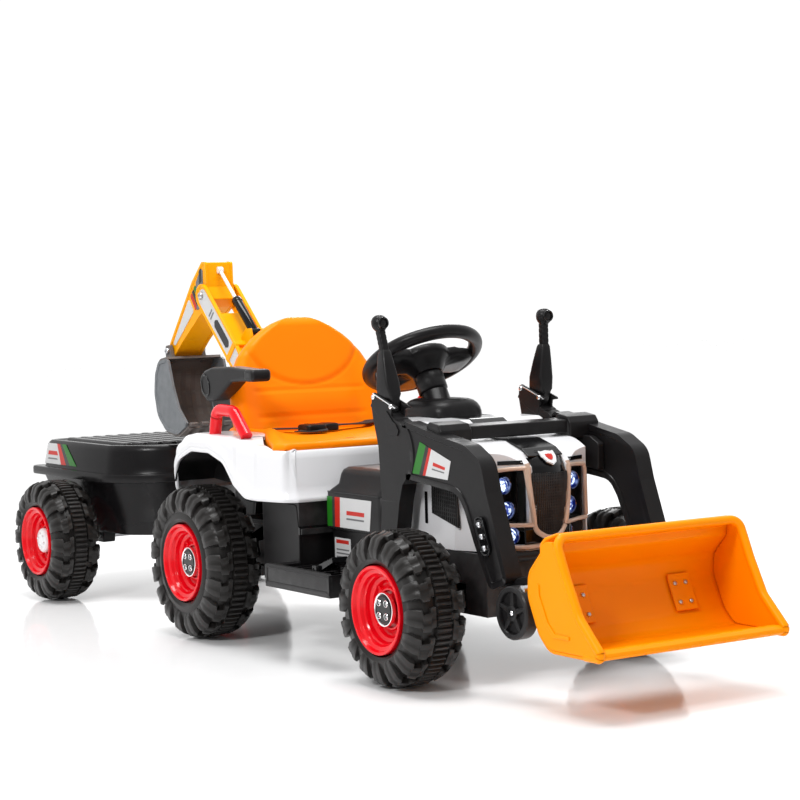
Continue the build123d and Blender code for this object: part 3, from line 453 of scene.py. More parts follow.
def label(name, corners, y, side, body, shares, depth=0.5):
    """A generic striped sticker on a flat side face: green, black, red and white, between four corners."""
    top_left, top_right, bottom_right, bottom_left = [Vector(c) for c in corners]

    def across(t0, t1):
        return [tuple(top_left.lerp(top_right, t0)), tuple(top_left.lerp(top_right, t1)),
                tuple(bottom_left.lerp(bottom_right, t1)), tuple(bottom_left.lerp(bottom_right, t0))]

    y0, y1 = sorted((y, y + side * depth))
    bounds = [0.0, *shares, 1.0]
    for i, paint in enumerate((GREEN, BLACK, LABEL_RED, LABEL_WHITE)):
        slab(f"{name}_band_{i}", across(bounds[i], bounds[i + 1]), y0, y1, body, paint, bevel=0)
    low, span = bounds[3], bounds[4] - bounds[3]
    for row, (share0, share1) in enumerate(((0.42, 0.56), (0.66, 0.72))):
        strip = across(low + span * 0.22, low + span * 0.8)
        left, right, base_right, base_left = [Vector(c) for c in strip]
        quad = [left.lerp(base_left, share0), right.lerp(base_right, share0),
                right.lerp(base_right, share1), left.lerp(base_left, share1)]
        slab(f"{name}_mark_{row}", [tuple(q) for q in quad], *sorted((y, y + side * (depth + 0.15))), body,
             LABEL_GREY if row else LABEL_RED, bevel=0)


# ------------------------------------------------------------------ wheels
def make_tyre(place, body):
    """A blow-moulded tyre: fine cross ribs round the middle, and blocks that wrap over both shoulders."""
    box = node_box(f"tyre_{place}")
    cx, cy, cz = box.cx, box.cy, box.cz
    radius = (box.z1 - box.z0) / 2
    rim_r = 66.0
    carcass = radius - 10.5
    half = [(0, radius - 0.6), (11.6, radius - 0.9), (12.3, radius - 4), (13.4, carcass + 0.5),
            (21, carcass - 0.5), (30, carcass - 3), (38, carcass - 9), (43, carcass - 19),
            (44, carcass - 30), (43, rim_r + 20), (45, rim_r + 15), (45.5, rim_r + 9), (43.5, rim_r + 6),
            (42, rim_r + 3), (36, rim_r + 1), (34, rim_r)]
    profile = [(-y, r) for y, r in reversed(half)] + half[1:]
    ribs = 76
    segments = ribs * 4
    verts = []
    for i in range(segments):
        a = 2 * math.pi * i / segments
        dip = 3.8 if i % 4 in (2, 3) else 0.0
        for y, r in profile:
            r -= dip if abs(y) < 12 else 0
            verts.append((cx + r * math.sin(a), cy + y, cz + r * math.cos(a)))
    faces = grid_faces(segments, len(profile), wrap_rows=True)
    # each block is a strip of cross-sections that follow the shoulder, stepping sideways like a chevron
    lugs = 17 if radius > 125 else 16
    stations = ((13.0, carcass - 1, 0, 0.0, 0.36), (14.0, carcass, 8.6, 0.0, 0.35),
                (21, carcass - 0.5, 9.6, 0.03, 0.34), (22.5, carcass - 0.5, 9.6, 0.15, 0.33),
                (30, carcass - 3, 9.8, 0.18, 0.31), (31.5, carcass - 4, 9.6, 0.04, 0.32),
                (38.5, carcass - 9, 9.0, 0.02, 0.33), (42.5, carcass - 18, 6.4, 0.0, 0.34),
                (43.5, carcass - 29, 4.2, 0.05, 0.27), (43.5, carcass - 34, 0, 0.08, 0.20))
    across = ((-1.0, -0.1), (-0.93, 0.93), (-0.84, 1.0), (-0.30, 1.0), (-0.22, 0.93), (0.22, 0.93),
              (0.30, 1.0), (0.84, 1.0), (0.93, 0.93), (1.0, -0.1))
    pitch = 2 * math.pi / lugs
    for hand in (-1, 1):
        for turn in range(lugs):
            start = len(verts)
            base = pitch * (turn + 0.5 * (hand > 0))
            for y, r, height, shift, wide in stations:
                out_y, out_r = (0.15, 1.0) if y < 30 else ((0.5, 0.85) if y < 40 else (0.95, 0.3))
                for share, rise in across:
                    a = base + pitch * (shift + share * wide)
                    rr = min(r + out_r * height * rise, radius - 0.4)
                    yy = min(y + out_y * height * rise, 47.6)
                    verts.append((cx + rr * math.sin(a), cy + hand * yy, cz + rr * math.cos(a)))
            faces += grid_faces(len(stations), len(across), start=start)
    piece(f"tyre_skin_{place}", verts, faces, body, TYRE, replaces=f"tyre_{place}", slot="tyre_black",
          crease=34)


def make_rim(place, body, side):
    """A red dish with stepped walls, small ribs and a split collar round the cap."""
    box = node_box(f"rim_{place}")
    centre = (box.cx, side * 211.0, box.cz)
    # the closed outline opens at its first corner, inside the tyre
    profile = rounded([(-44, 60), (-44, 65.8), (45.5, 65.8), (46.8, 64), (46, 61.5), (40, 59.5), (38.5, 54),
                       (33, 52), (31, 50), (24, 48.5), (22, 43), (16.5, 41), (15, 39), (15, 32),
                       (17.5, 31.6), (21.5, 31), (21.5, 27.5), (16, 27), (16, 8)], 1.1, steps=3)[3:]
    lathe(f"rim_dish_{place}", profile, centre, body, RED, side=side, segments=128,
          replaces=f"rim_{place}", slot="rim_red", thick=1.6)
    for rib in range(4):
        a = math.pi / 4 + rib * math.pi / 2
        made = []
        for r, y, w in ((30.0, 17.5, 2.2), (41.5, 17.5, 2.2), (44, 22, 1.6)):
            for u in (-w, w):
                x = r * math.sin(a) + u * math.cos(a)
                z = r * math.cos(a) - u * math.sin(a)
                made.append((centre[0] + x, centre[1] + side * (y + 2.0), centre[2] + z))
                made.append((centre[0] + x, centre[1] + side * (y - 3.0), centre[2] + z))
        faces = []
        for k in (0, 4):
            faces += [(k, k + 4, k + 6, k + 2), (k, k + 1, k + 5, k + 4), (k + 2, k + 6, k + 7, k + 3)]
        faces += [(0, 2, 3, 1), (8, 9, 11, 10)]
        piece(f"rim_rib_{place}_{rib}", made, faces, body, RED, bevel=0.6)


def make_cap(place, body, side, white):
    """The hub cap: black in a bright ring with four sunk screws, or plain white with six raised dots."""
    box = node_box(f"hub_cap_{place}")
    centre = (box.cx, side * 215.0, box.cz)
    face = 28.6
    if white:
        cap = [(22, 24.0), (25.5, 24.0), (28.2, 22.0), (face + 1, 18), (face + 1.4, 8), (face + 1.5, 0.01)]
        paint = HUB_WHITE
    else:
        cap = [(22, 22.6), (26.5, 22.6), (27.6, 21.4), (face, 20), (face, 19), (face - 0.6, 18.4),
               (face - 0.6, 0.01)]
        paint = BLACK_GLOSS
    lathe(f"cap_face_{place}", cap, centre, body, paint, side=side, segments=72, replaces=f"hub_cap_{place}",
          slot="cap_white" if white else "cap_black")
    if not white:
        ring = [(22, 22.4), (22, 25.4), (26.5, 25.6), (28.0, 24.8), (28.2, 23.6), (27.2, 22.5)]
        lathe(f"cap_ring_{place}", ring, centre, body, CHROME, side=side, segments=72)
    count = 6 if white else 4
    for k in range(count):
        a = math.pi / 4 + 2 * math.pi * k / count
        spot = (centre[0] + 13.5 * math.sin(a), centre[1], centre[2] + 13.5 * math.cos(a))
        if white:
            dot = [(28, 2.6), (31.2, 2.3), (31.9, 1.4), (32, 0.01)]
            lathe(f"cap_dot_{place}_{k}", dot, spot, body, HUB_WHITE, side=side, segments=20)
        else:
            cup = [(27, 5.5), (29.6, 5.4), (30.3, 4.8), (30.0, 4.1), (27, 3.8)]
            lathe(f"cap_cup_{place}_{k}", cup, spot, body, CHROME, side=side, segments=24)
            lathe(f"cap_screw_{place}_{k}", [(27, 2.2), (29.0, 2.0), (29.5, 1.2), (29.5, 0.01)], spot, body,
                  STEEL, side=side, segments=20)


for place in ("front_right", "front_left", "rear_right", "rear_left", "trailer_right", "trailer_left"):
    wheel_body = f"wheel_{place}"
    wheel_side = 1 if place.endswith("left") else -1
    make_tyre(place, wheel_body)
    make_rim(place, wheel_body, wheel_side)
    make_cap(place, wheel_body, wheel_side, place.startswith("trailer"))


# ------------------------------------------------------------------ white rear body
BODY = node_box("rear_body")
ARCH_KNOTS = [(-165, 246), (-161, 272), (-138, 303), (-92, 320), (-30, 320), (22, 305), (58, 268), (84, 250),
              (116, 247)]
BODY_PLAN = [(BODY.x0, 60), (BODY.x0, 206), (-158, BODY.y1 - 1), (56, BODY.y1 - 1), (111, 223), (180, 207),
             (193, 189), (199, 100), (200, 0)]
BODY_TOP = [(BODY.x0, 296), (-166, 314), (-148, 333), (-118, 347), (-92, 350.5), (24, 350.5), (60, 346.5),
            (110, 337), (150, 331), (172, 330.2)]
FLANGE = [(BODY.x0, 60), (-112, 84), (0, 82), (150, 6), (190, 6)]


def dense(points, step):
    """Points along an open outline, about a step apart."""
    out = []
    for a, b in zip(points, points[1:]):
        a, b = Vector(a), Vector(b)
        n = max(1, round((b - a).length / step))
        out += [tuple(a.lerp(b, k / n)) for k in range(n)]
    return out + [tuple(points[-1])]


ARCH_LIP = dense(rounded(ARCH_KNOTS, [0, 12, 30, 34, 40, 40, 34, 26, 0], steps=10), 3)


def body_shell():
    """A wall swept round the plan, with a rolled lower lip, a flared arch and a soft shoulder on top."""
    corner = [0, 26, 26, 30, 40, 22, 16, 20, 0]
    half = rounded([(0, -1)] + BODY_PLAN, [0] + corner, steps=8)[1:]
    half = dense(half, 4)
    path = [Vector(p) for p in half if p[1] >= 0]
    rows = []
    deck_x = BODY.x0 + 56
    for i, p in enumerate(path):
        ahead = path[min(i + 1, len(path) - 1)] - path[max(i - 1, 0)]
        normal = Vector((ahead.y, -ahead.x)).normalized()
        if normal.y < -0.2:
            normal = -normal
        if abs(normal.y) <= 0.2:
            normal.x = abs(normal.x) * (1 if p.x > 0 else -1)
        bottom = BODY.z0
        if -165 < p.x < 114 and p.y > 190:
            bottom = max(BODY.z0, table(ARCH_LIP, p.x))
        top = table(BODY_TOP, p.x)
        lean = 2 + 17 * max(0.0, normal.x)
        shoulder = 13 - 8 * smoothstep(60, 150, p.x)
        inward = table(FLANGE, p.x) if normal.y > 0.5 else (58 if p.x < 0 else 6)
        column = [(-4, bottom + 0.5), (0.6, bottom), (2.2, bottom + 2.0), (2.4, bottom + 5),
                  (0.8, bottom + 8)]
        low, high = bottom + 8, max(bottom + 9, top - shoulder)
        for k in range(1, 9):
            z = low + (high - low) * k / 8
            share = (z - BODY.z0) / (top - BODY.z0)
            flare = 3.4 * (1 - smoothstep(16, 26, z - bottom)) * (1 - smoothstep(70, 112, p.x))
            flare = flare if p.y > 190 else 0
            column.append((flare - lean * share, z))
        for k in range(1, 6):
            a = k / 5 * math.pi / 2
            column.append((-lean - shoulder * (1 - math.cos(a)), high + (top - high) * math.sin(a)))
        edge = p - normal * (lean + shoulder)
        inner = p - normal * (lean + max(inward, shoulder + 2))
        if p.x < deck_x:
            inner = Vector((deck_x, min(p.y, 146)))
        deck = [edge.lerp(inner, k / 4).to_3d() + Vector((0, 0, top)) for k in range(1, 5)]
        rise = table(BODY_TOP, inner.x) - top
        deck = [(q.x, q.y, q.z + rise * smoothstep(0, 4, k)) for k, q in enumerate(deck, 1)]
        row = [(p.x + normal.x * o, p.y + normal.y * o, z) for o, z in column] + deck
        rows.append(row + [(inner.x, inner.y, deck[-1][2] - 5)])
    full = [[(x, -y, z) for x, y, z in row] for row in reversed(rows[:-1])]
    rows = rows + full
    verts = [v for row in rows for v in row]
    piece("rear_body_shell", verts, grid_faces(len(rows), len(rows[0])), TRACTOR, WHITE,
          replaces="rear_body", slot="body_white", thick=2.5, crease=50)
    for side in (-1, 1):
        name = "right" if side < 0 else "left"
        arc = [(x, table(ARCH_LIP, x) - 1.5) for x in [112 - 274 * k / 60 for k in range(61)]]
        outer, mid, inner = 228, 200, 152
        rings = [[(x, side * y, z) for x, z in arc] for y in (outer, mid, inner)]
        verts = [v for ring in rings for v in ring]
        faces = grid_faces(3, len(arc)) + [tuple(range(2 * len(arc), 3 * len(arc)))]
        piece(f"arch_liner_{name}", verts, faces, TRACTOR, BLACK, crease=60)


body_shell()

# ------------------------------------------------------------------ seat
SEAT = node_box("seat")
SEAT_PLAN = [(-118, 146), (2, 149), (30, 158), (146, 207), (168, 196), (SEAT.x1, 120)]


def seat_base():
    """The lower seat: a dished cushion form with side bolsters and a rolled front lip."""
    half = rounded([(-119, 0)] + SEAT_PLAN + [(SEAT.x1 + 1, 0)], [0, 6, 14, 14, 10, 10, 20, 0], steps=6)
    half = dense([p for p in half if p[1] >= 0], 12)
    outline = half + [(x, -y) for x, y in reversed(half[1:-1])]
    middle = Vector((30, 0))

    def height(x, y):
        side = smoothstep(92, 140, abs(y)) * (1 - smoothstep(10, 90, x))
        edge_y = track(SEAT_PLAN, x)
        along = smoothstep(-20, 40, x) * (1 - smoothstep(120, 160, x))
        side += 0.55 * math.exp(-((edge_y - abs(y) - 17) / 9) ** 2) * along
        groove = 1.6 * math.exp(-((x - 128) / 2.2) ** 2) * (1 - smoothstep(140, 170, abs(y)))
        front = 3.0 * smoothstep(60, 128, x)
        return 345 + 10 * side - front - groove

    rings = []
    for inset, drop in ((1.0, 15.5), (0.0, 13), (0.0, 8), (1.2, 4.0), (4.0, 1.4), (8.5, 0.2)):
        ring = []
        for x, y in outline:
            p = Vector((x, y))
            q = p - (p - middle).normalized() * inset
            top = height(q.x, q.y)
            z = 330.2 if drop > 15 else (331 if drop > 12 else top - drop * (top - 331) / 13)
            ring.append((q.x, q.y, z))
        rings.append(ring)
    for k in range(1, 22):
        share = 1 - k / 22
        ring = []
        for x, y, _ in rings[5]:
            p = middle + (Vector((x, y)) - middle) * share
            ring.append((p.x, p.y, height(p.x, p.y)))
        rings.append(ring)
    loft("seat_base_shell", rings, TRACTOR, ORANGE, crease=70)
    slot_cut = round_rect(124, 133, -56, -38, 4)
    loft("seat_drain_slot", [[(x, y, z) for x, y in slot_cut] for z in (341.2, 341.9)], TRACTOR, BLACK_GLOSS)


def seat_back():
    """The backrest: a rounded shell with side bolsters, a headrest pad and pressed grooves."""
    tilt = math.radians(12.5)
    lean = Vector((math.cos(tilt), 0, math.sin(tilt)))
    rise = Vector((-math.sin(tilt), 0, math.cos(tilt)))
    foot = Vector((-83, 0, 350))
    widths = [(-14, 147), (10, 148.5), (40, 149), (66, 147), (92, 142), (112, 134), (128, 125), (146, 109),
              (162, 91), (176, 70), (186, 50), (193, 30), (196.5, 10)]
    levels = [-14 + 210.5 * (1 - (1 - k / 74) ** 1.35) for k in range(75)]
    cols = 84
    def front_depth(u, v):
        bolster = 9 * smoothstep(0.62, 0.92, abs(u) / 149) * (1 - smoothstep(70, 130, v))
        rho = math.hypot(u / 112, (v - 158) / 84)
        pad = 2.2 * (1 - smoothstep(0.90, 1.02, rho)) - 1.8 * math.exp(-((rho - 1.02) / 0.020) ** 2)
        lumbar = 5.0 * math.exp(-((v - 42) / 30) ** 2) * (1 - smoothstep(70, 112, abs(u)))
        reach = 1 - smoothstep(104, 116, abs(u))
        grooves = sum(2.8 * math.exp(-((v - level) / 1.9) ** 2) * reach for level in (18, 64))
        return 15 + bolster + pad + lumbar - grooves

    def point(u, v, depth):
        p = foot + rise * v + lean * depth
        return (p.x, p.y + u, p.z)

    soft = 17.0
    for face_name, sign in (("front", 1), ("rear", -1)):
        rows = []
        for v in levels:
            w = track(widths, v)
            row = []
            for k in range(cols + 1):
                t = -math.cos(math.pi * k / cols)
                u = w * t
                edge = min((1 - abs(t)) * w, (196.6 - v) * 0.9)
                near = 1 - min(1.0, max(0.0, edge) / soft)
                fall = math.sqrt(max(0.0, 1 - near ** 2))
                depth = front_depth(u, v) * fall if sign > 0 else -20 * fall
                row.append(point(u, v, depth))
            rows.append(row)
        verts = [p for row in rows for p in row]
        piece(f"seat_back_{face_name}", verts, grid_faces(len(rows), cols + 1), TRACTOR, ORANGE,
              crease=80, replaces="seat" if sign > 0 else None, slot="seat_orange")


seat_base()
seat_back()


# ------------------------------------------------------------------ seat belt
def webbing(name, path, width, thick, body):
    """A flat strap along a list of points, lying flat."""
    spine = []
    points = [Vector(p) for p in path]
    for i in range(len(points) - 1):
        p0, p1 = points[max(0, i - 1)], points[i]
        p2, p3 = points[i + 1], points[min(len(points) - 1, i + 2)]
        for k in range(8):
            t = k / 8
            spine.append(0.5 * ((2 * p1) + (p2 - p0) * t + (2 * p0 - 5 * p1 + 4 * p2 - p3) * t * t
                                + (3 * p1 - p0 - 3 * p2 + p3) * t ** 3))
    spine.append(points[-1])
    rings = []
    for i, p in enumerate(spine):
        ahead = (spine[min(i + 1, len(spine) - 1)] - spine[max(i - 1, 0)]).normalized()
        side = ahead.cross(Vector((0, 0, 1))).normalized() * width / 2
        up = side.cross(ahead).normalized() * thick / 2
        ring = [p - side * 0.96 - up, p - side, p - side * 0.96 + up, p + up * 0.6,
                p + side * 0.96 + up, p + side, p + side * 0.96 - up, p - up * 1.2]
        rings.append([tuple(q) for q in ring])
    loft(name, rings, body, WEBBING, crease=60)


BELT = node_box("seat_belt")
belt_z = BELT.z0 + 2
webbing("belt_strap_right", [(-74, -100, belt_z + 1), (-52, -86, belt_z + 3), (-22, -74, belt_z + 4),
                             (4, -64, belt_z + 5)], 24, 2.2, TRACTOR)
webbing("belt_strap_left", [(-74, 128, belt_z + 10), (-52, 104, belt_z + 5), (-36, 70, belt_z + 4),
                            (-18, 30, belt_z + 6), (2, -6, belt_z + 7), (14, -22, belt_z + 7)], 24, 2.2,
                            TRACTOR)
webbing("belt_tail", [(30, -44, belt_z + 4), (44, -52, belt_z + 2), (40, -72, belt_z + 1.5),
                      (18, -84, belt_z + 2)], 20, 2.0, TRACTOR)
for name, x0, x1, y0, y1 in (("tongue", -8, 26, -34, -4), ("buckle", -2, 38, -74, -36)):
    outline = round_rect(x0, x1, y0, y1, 7)
    levels = ((belt_z - 0.6, 1.2), (belt_z + 1, 0), (belt_z + 9, 0), (belt_z + 11.5, 1.5),
              (belt_z + 12.5, 5))
    rings = []
    for z, inset in levels:
        cx, cy = (x0 + x1) / 2, (y0 + y1) / 2
        sx, sy = 1 - 2 * inset / (x1 - x0), 1 - 2 * inset / (y1 - y0)
        rings.append([(cx + (x - cx) * sx, cy + (y - cy) * sy, z) for x, y in outline])
    loft(f"belt_{name}", rings, TRACTOR, BLACK, replaces="seat_belt" if name == "buckle" else None,
         slot="webbing" if name == "buckle" else None, bevel=0.5)
release = round_rect(8, 28, -66, -48, 3)
loft("belt_release", [[(x, y, z) for x, y in release] for z in (belt_z + 11, belt_z + 13.4)],
     TRACTOR, BLACK_GLOSS, bevel=0.6)

# ------------------------------------------------------------------ armrests and hand rails
ARM_OUTLINE = [(-114, 401), (-92, 404), (-58, 420), (-28, 437), (48, 440), (51, 449), (48, 458), (-40, 463),
               (-98, 461), (-127, 454), (-138, 438), (-136, 416)]
for side, name in reversed(SIDES):
    y0, y1 = pair(side, 151, 186)
    slab(f"armrest_shell_{name}", ARM_OUTLINE, y0, y1, f"armrest_{name}_body", BLACK,
         corner=[14, 10, 20, 14, 8, 6, 9, 20, 24, 16, 14, 16], bevel=6.5, replaces=f"armrest_{name}",
         slot="chassis_black", crease=50)
    oval = [(-117 + 15 * math.cos(a) - 4 * math.sin(a), 430 + 20 * math.sin(a))
            for a in [2 * math.pi * k / 40 for k in range(40)]]
    slab(f"armrest_boss_{name}", oval, *pair(side, 183, 187.4), f"armrest_{name}_body", BLACK_GLOSS,
         bevel=1.2, border=3.2, sink=1.6)
    grip = [(20, 438.5), (50.5, 438.5), (50.5, 459.2), (20, 460)]
    slab(f"armrest_grip_{name}", grip, *pair(side, 149.8, 187.2), f"armrest_{name}_body", BLACK,
         corner=8, bevel=6.5)
    rail = [(-46, 349.5), (-37, 392), (22, 390), (63, 349.5)]
    path = dense(rounded(rail + [(0, 300)], [0, 21, 21, 0, 0], steps=10)[:24], 6)
    path = [(x, side * 208, z) for x, z in path if z > 349]
    tube(f"hand_rail_{name}", path, 10.2, TRACTOR, RED, sides=28,
         replaces="side_rails" if side > 0 else None, slot="rail_red")

# ------------------------------------------------------------------ hood, grille and lamps
NOSE_PLAN = [(0, 616), (34, 608), (55, 596), (63, 592), (75, 588.1), (88, 584.3), (92, 575.6)]
NOSE_SIDE = [(193, 604.2), (215, 606), (240, 608.4), (280, 611), (312, 610.4), (318, 608), (336, 590),
             (342, 576.5)]


def nose(y, z, lift=0.0):
    """A point on the hood's front face, lifted off it."""
    return (min(track(NOSE_PLAN, abs(y)), track(NOSE_SIDE, z)) + lift, y, z)


GRILLE_HALF = [(212, 5), (214, 11), (218, 17), (224, 22), (232, 25.5), (240, 27.5), (262, 31), (290, 34),
               (322, 35.5), (340, 35)]
GRILLE_SIDE = [(206, 600.5), (215, 607), (262, 612.5), (298, 616), (308, 615), (318, 610.5), (328, 602),
               (340, 589)]


def grille_point(y, z, lift=0.0):
    """A point on the grille's bowed face."""
    return (track(GRILLE_SIDE, z) + 5.5 - 0.0115 * y * y + lift, y, z)


def ribbon(name, path, y0, y1, thick, body, material, **finish):
    """A strip laid along a side-view path of (x, z) points, thick millimetres deep below it."""
    low = [(x - 0.4 * thick, z - thick) for x, z in path]
    slab(name, list(path) + low[::-1], y0, y1, body, material, **finish)


def keep(node, material, bevel=0.0):
    """Gives a CAD node a better material, and softens its edges."""
    obj = bpy.data.objects[node]
    for place in obj.material_slots:
        place.material = material
    if bevel:
        soften(obj, bevel, 40)


keep("hood", WHITE, 3.0)
keep("lamp_housings", BLACK, 1.0)
strip = dense(rounded([(401, 384.8), (452, 383.4), (498, 358), (545, 355.4), (585, 343.5), (601, 333)],
                      [0, 20, 20, 16, 14, 0], steps=6), 10)
ribbon("hood_centre_strip", strip, -32, 32, 2.6, TRACTOR, BLACK_GLOSS, crease=60, bevel=0.8)
for side, name in SIDES:
    rings = []
    for k in range(15):
        y = 43 + 36 * k / 14
        section = ((321.5, 1.2), (327.5, 1.2), (327.5, -4), (321.5, -4))
        rings.append([nose(side * y, z, lift) for z, lift in section])
    loft(f"hood_vent_{name}", rings, TRACTOR, BLACK_GLOSS, crease=30)
    u_path = [(37.5, 322), (37, 300), (33.5, 262), (30, 239)] + [
        (30 * math.cos(a), 238 - 27 * math.sin(a)) for a in [math.pi / 2 * k / 8 for k in range(1, 9)]]
    path = [(max(nose(y, z)[0], grille_point(y, z)[0]) + 1.0, side * y, z) for y, z in dense(u_path, 5)]
    tube(f"grille_trim_{name}", path, 4.2, TRACTOR, CREAM, sides=14)
    frames = {
        "top": [(36, 316), (60, 315.5), (81, 314)],
        "inner": [(41, 314), (38, 290), (34, 262), (28, 234)],
        "middle": [(26, 231), (56, 231.5), (86, 233)],
        "outer": [(81, 314), (85, 306), (86.5, 236)],
        "bottom": [(14, 199), (50, 198), (82, 197.5)],
    }
    for part, spots in frames.items():
        path = [nose(side * y, z, 0.8) for y, z in dense(spots, 8)]
        tube(f"lamp_frame_{part}_{name}", path, 3.3 if part != "bottom" else 3.8, TRACTOR, CREAM, sides=12)
    side_y = 112.2
    vent_y0, vent_y1 = sorted((side * (side_y - 2), side * (side_y + 0.9)))
    slab(f"hood_side_slot_{name}", [(443, 228), (450, 228), (450, 277), (443, 277)], vent_y0, vent_y1,
         TRACTOR, BLACK_GLOSS, corner=2, bevel=0.5)
    mesh_panel = [(462, 245), (534, 226), (528, 284), (519, 296), (462, 296)]
    slab(f"hood_side_mesh_{name}", mesh_panel, vent_y0, vent_y1, TRACTOR, BLACK, corner=3, bevel=0.5)
    for k in range(14):
        x = 465 + 5 * k
        low = 246.5 - 0.264 * (x - 462)
        high = 294 - max(0, x - 518)
        slab(f"hood_side_rib_{name}_{k}", [(x, low), (x + 1.8, low), (x + 1.8, high), (x, high)],
             *sorted((side * side_y, side * (side_y + 2.2))), TRACTOR, BLACK, bevel=0.4)
    for k in range(9):
        z = 243 + 6 * k
        slab(f"hood_side_bar_{name}_{k}", [(463, z + 2), (528, z - 2), (528, z - 0.4), (463, z + 3.6)],
             *sorted((side * side_y, side * (side_y + 1.8))), TRACTOR, BLACK, bevel=0.3)

rows = []
for k in range(60):
    z = 212 + 127.8 * k / 59
    reach = track(GRILLE_HALF, z)
    row = [grille_point(reach * u / 8, z) for u in range(-8, 9)]
    row = [(row[0][0] - 9, row[0][1], row[0][2])] + row + [(row[-1][0] - 9, row[-1][1], row[-1][2])]
    rows.append(row)
piece("grille_face", [p for row in rows for p in row], grid_faces(60, 19), TRACTOR, BLACK_GLOSS, thick=1.5,
      crease=50, replaces="grille", slot="grille_white")
for k in range(-10, 11):
    y = 3.1 * k
    low = next(z for z in range(212, 330) if track(GRILLE_HALF, z) > abs(y) + 1.5)
    levels = [low + (308 - low) * i / 14 for i in range(15)]
    ring = [grille_point(y, z, 1.5) for z in levels]
    rings = [[(x, y - 0.75, z), (x, y + 0.75, z), (x - 2.5, y + 0.95, z), (x - 2.5, y - 0.95, z)]
             for x, y, z in ring]
    loft(f"grille_rib_{k + 10}", rings, TRACTOR, BLACK, crease=30)
for k in range(21):
    z = 217 + 4.4 * k
    reach = track(GRILLE_HALF, z) - 1.5
    ring = [grille_point(reach * u / 8, z, 0.9) for u in range(-8, 9)]
    rings = [[(x, y, z - 0.6), (x, y, z + 0.6), (x - 2, y, z + 0.8), (x - 2, y, z - 0.8)]
             for x, y, z in ring]
    loft(f"grille_bar_{k}", rings, TRACTOR, BLACK, crease=30)
for side, name in SIDES:
    rows = []
    for k in range(16):
        y = 3 + 41 * k / 15
        high = 235 - 27 * math.sqrt(1 - (y / 30) ** 2) if y < 29 else 228
        rows.append([nose(side * y, 201 + (high - 201) * i / 5, 0.6) for i in range(6)])
    piece(f"lamp_apron_{name}", [p for row in rows for p in row], grid_faces(16, 6), TRACTOR, BLACK_GLOSS,
          thick=0.8)
emblem = [(0, 14), (9, 12), (14, 14), (14, 2), (9, -9), (0, -15), (-9, -9), (-14, 2), (-14, 14), (-9, 12)]
for grow, lift, paint, part in ((1.0, 2.0, CHROME, "rim"), (0.86, 3.0, HUB_WHITE, "field"),
                                (0.42, 3.8, LABEL_RED, "core")):
    rings = []
    for off in (0.0, 1.6):
        rings.append([(606 - 0.72 * z * grow + lift + off, y * grow,
                       327 + z * 0.72 * grow + (lift + off) * 0.8)
                      for y, z in rounded(emblem, 2.0, steps=3)])
    loft(f"emblem_{part}", rings, TRACTOR, paint, crease=30)

LAMP_SPOTS = ((64, 290), (58, 253), (50, 214))
first = True
for side, name in SIDES:
    for k, (y, z) in enumerate(LAMP_SPOTS):
        spot = (572, side * y, z)
        cup = [(-10, 5), (-6, 9.4), (0, 11.6), (6, 12.4), (8.6, 12.6), (9.4, 13.8), (7.5, 14.4), (2, 14.0)]
        lathe(f"lamp_cup_{name}_{k}", cup, spot, TRACTOR, MIRROR_CUP, axis="X", segments=40)
        dome = [(-4, 10.6), (3, 10.6), (6, 9.4), (8, 6.8), (9.2, 3.5), (9.6, 0.01)]
        lathe(f"lamp_lens_{name}_{k}", dome, spot, TRACTOR, LENS, axis="X", segments=40,
              replaces="lamp_lenses" if first else None, slot="lamp_clear" if first else None)
        first = False
tube("bumper_bar", [(600, -104, 186), (606, -60, 186), (608, 0, 186), (606, 60, 186), (600, 104, 186)], 7,
     TRACTOR, BLACK, sides=20)

# ------------------------------------------------------------------ cowl, column, steering wheel, horn
cowl_levels = ((382, 0), (390, 0.4), (397, 2.5), (403, 6.5), (407.5, 12), (410.4, 20), (411, 30))
rings = []
for z, inset in cowl_levels:
    ring = []
    for k in range(72):
        a = 2 * math.pi * k / 72
        c, s = math.cos(a), math.sin(a)
        reach_x, reach_y = 62 - inset, 52 - inset * 0.9
        ring.append((331 + reach_x * math.copysign(abs(c) ** 0.6, c),
                     reach_y * math.copysign(abs(s) ** 0.6, s), z))
    rings.append(ring)
loft("cowl_dome", rings, TRACTOR, BLACK, replaces="cowl", slot="chassis_black", crease=50)
rings = []
for z, inset in ((304, 0), (306, -0.6), (370, 2), (380, 4), (384, 9)):
    rings.append([(x, y, z) for x, y in round_rect(268 + inset, 344.7, -66 + inset, 66 - inset, 16)])
loft("cowl_tower", rings, TRACTOR, BLACK, crease=50)

TILT = math.radians(30)
HUB_SPOT = Vector((278.8, 0, 472.4))
HUB_UP = Vector((-math.sin(TILT), 0, math.cos(TILT)))
HUB_FORE = Vector((math.cos(TILT), 0, math.sin(TILT)))


def hub(fore, left, up):
    """A point in the steering wheel's own plane."""
    p = HUB_SPOT + HUB_FORE * fore + HUB_UP * up
    return (p.x, p.y + left, p.z)


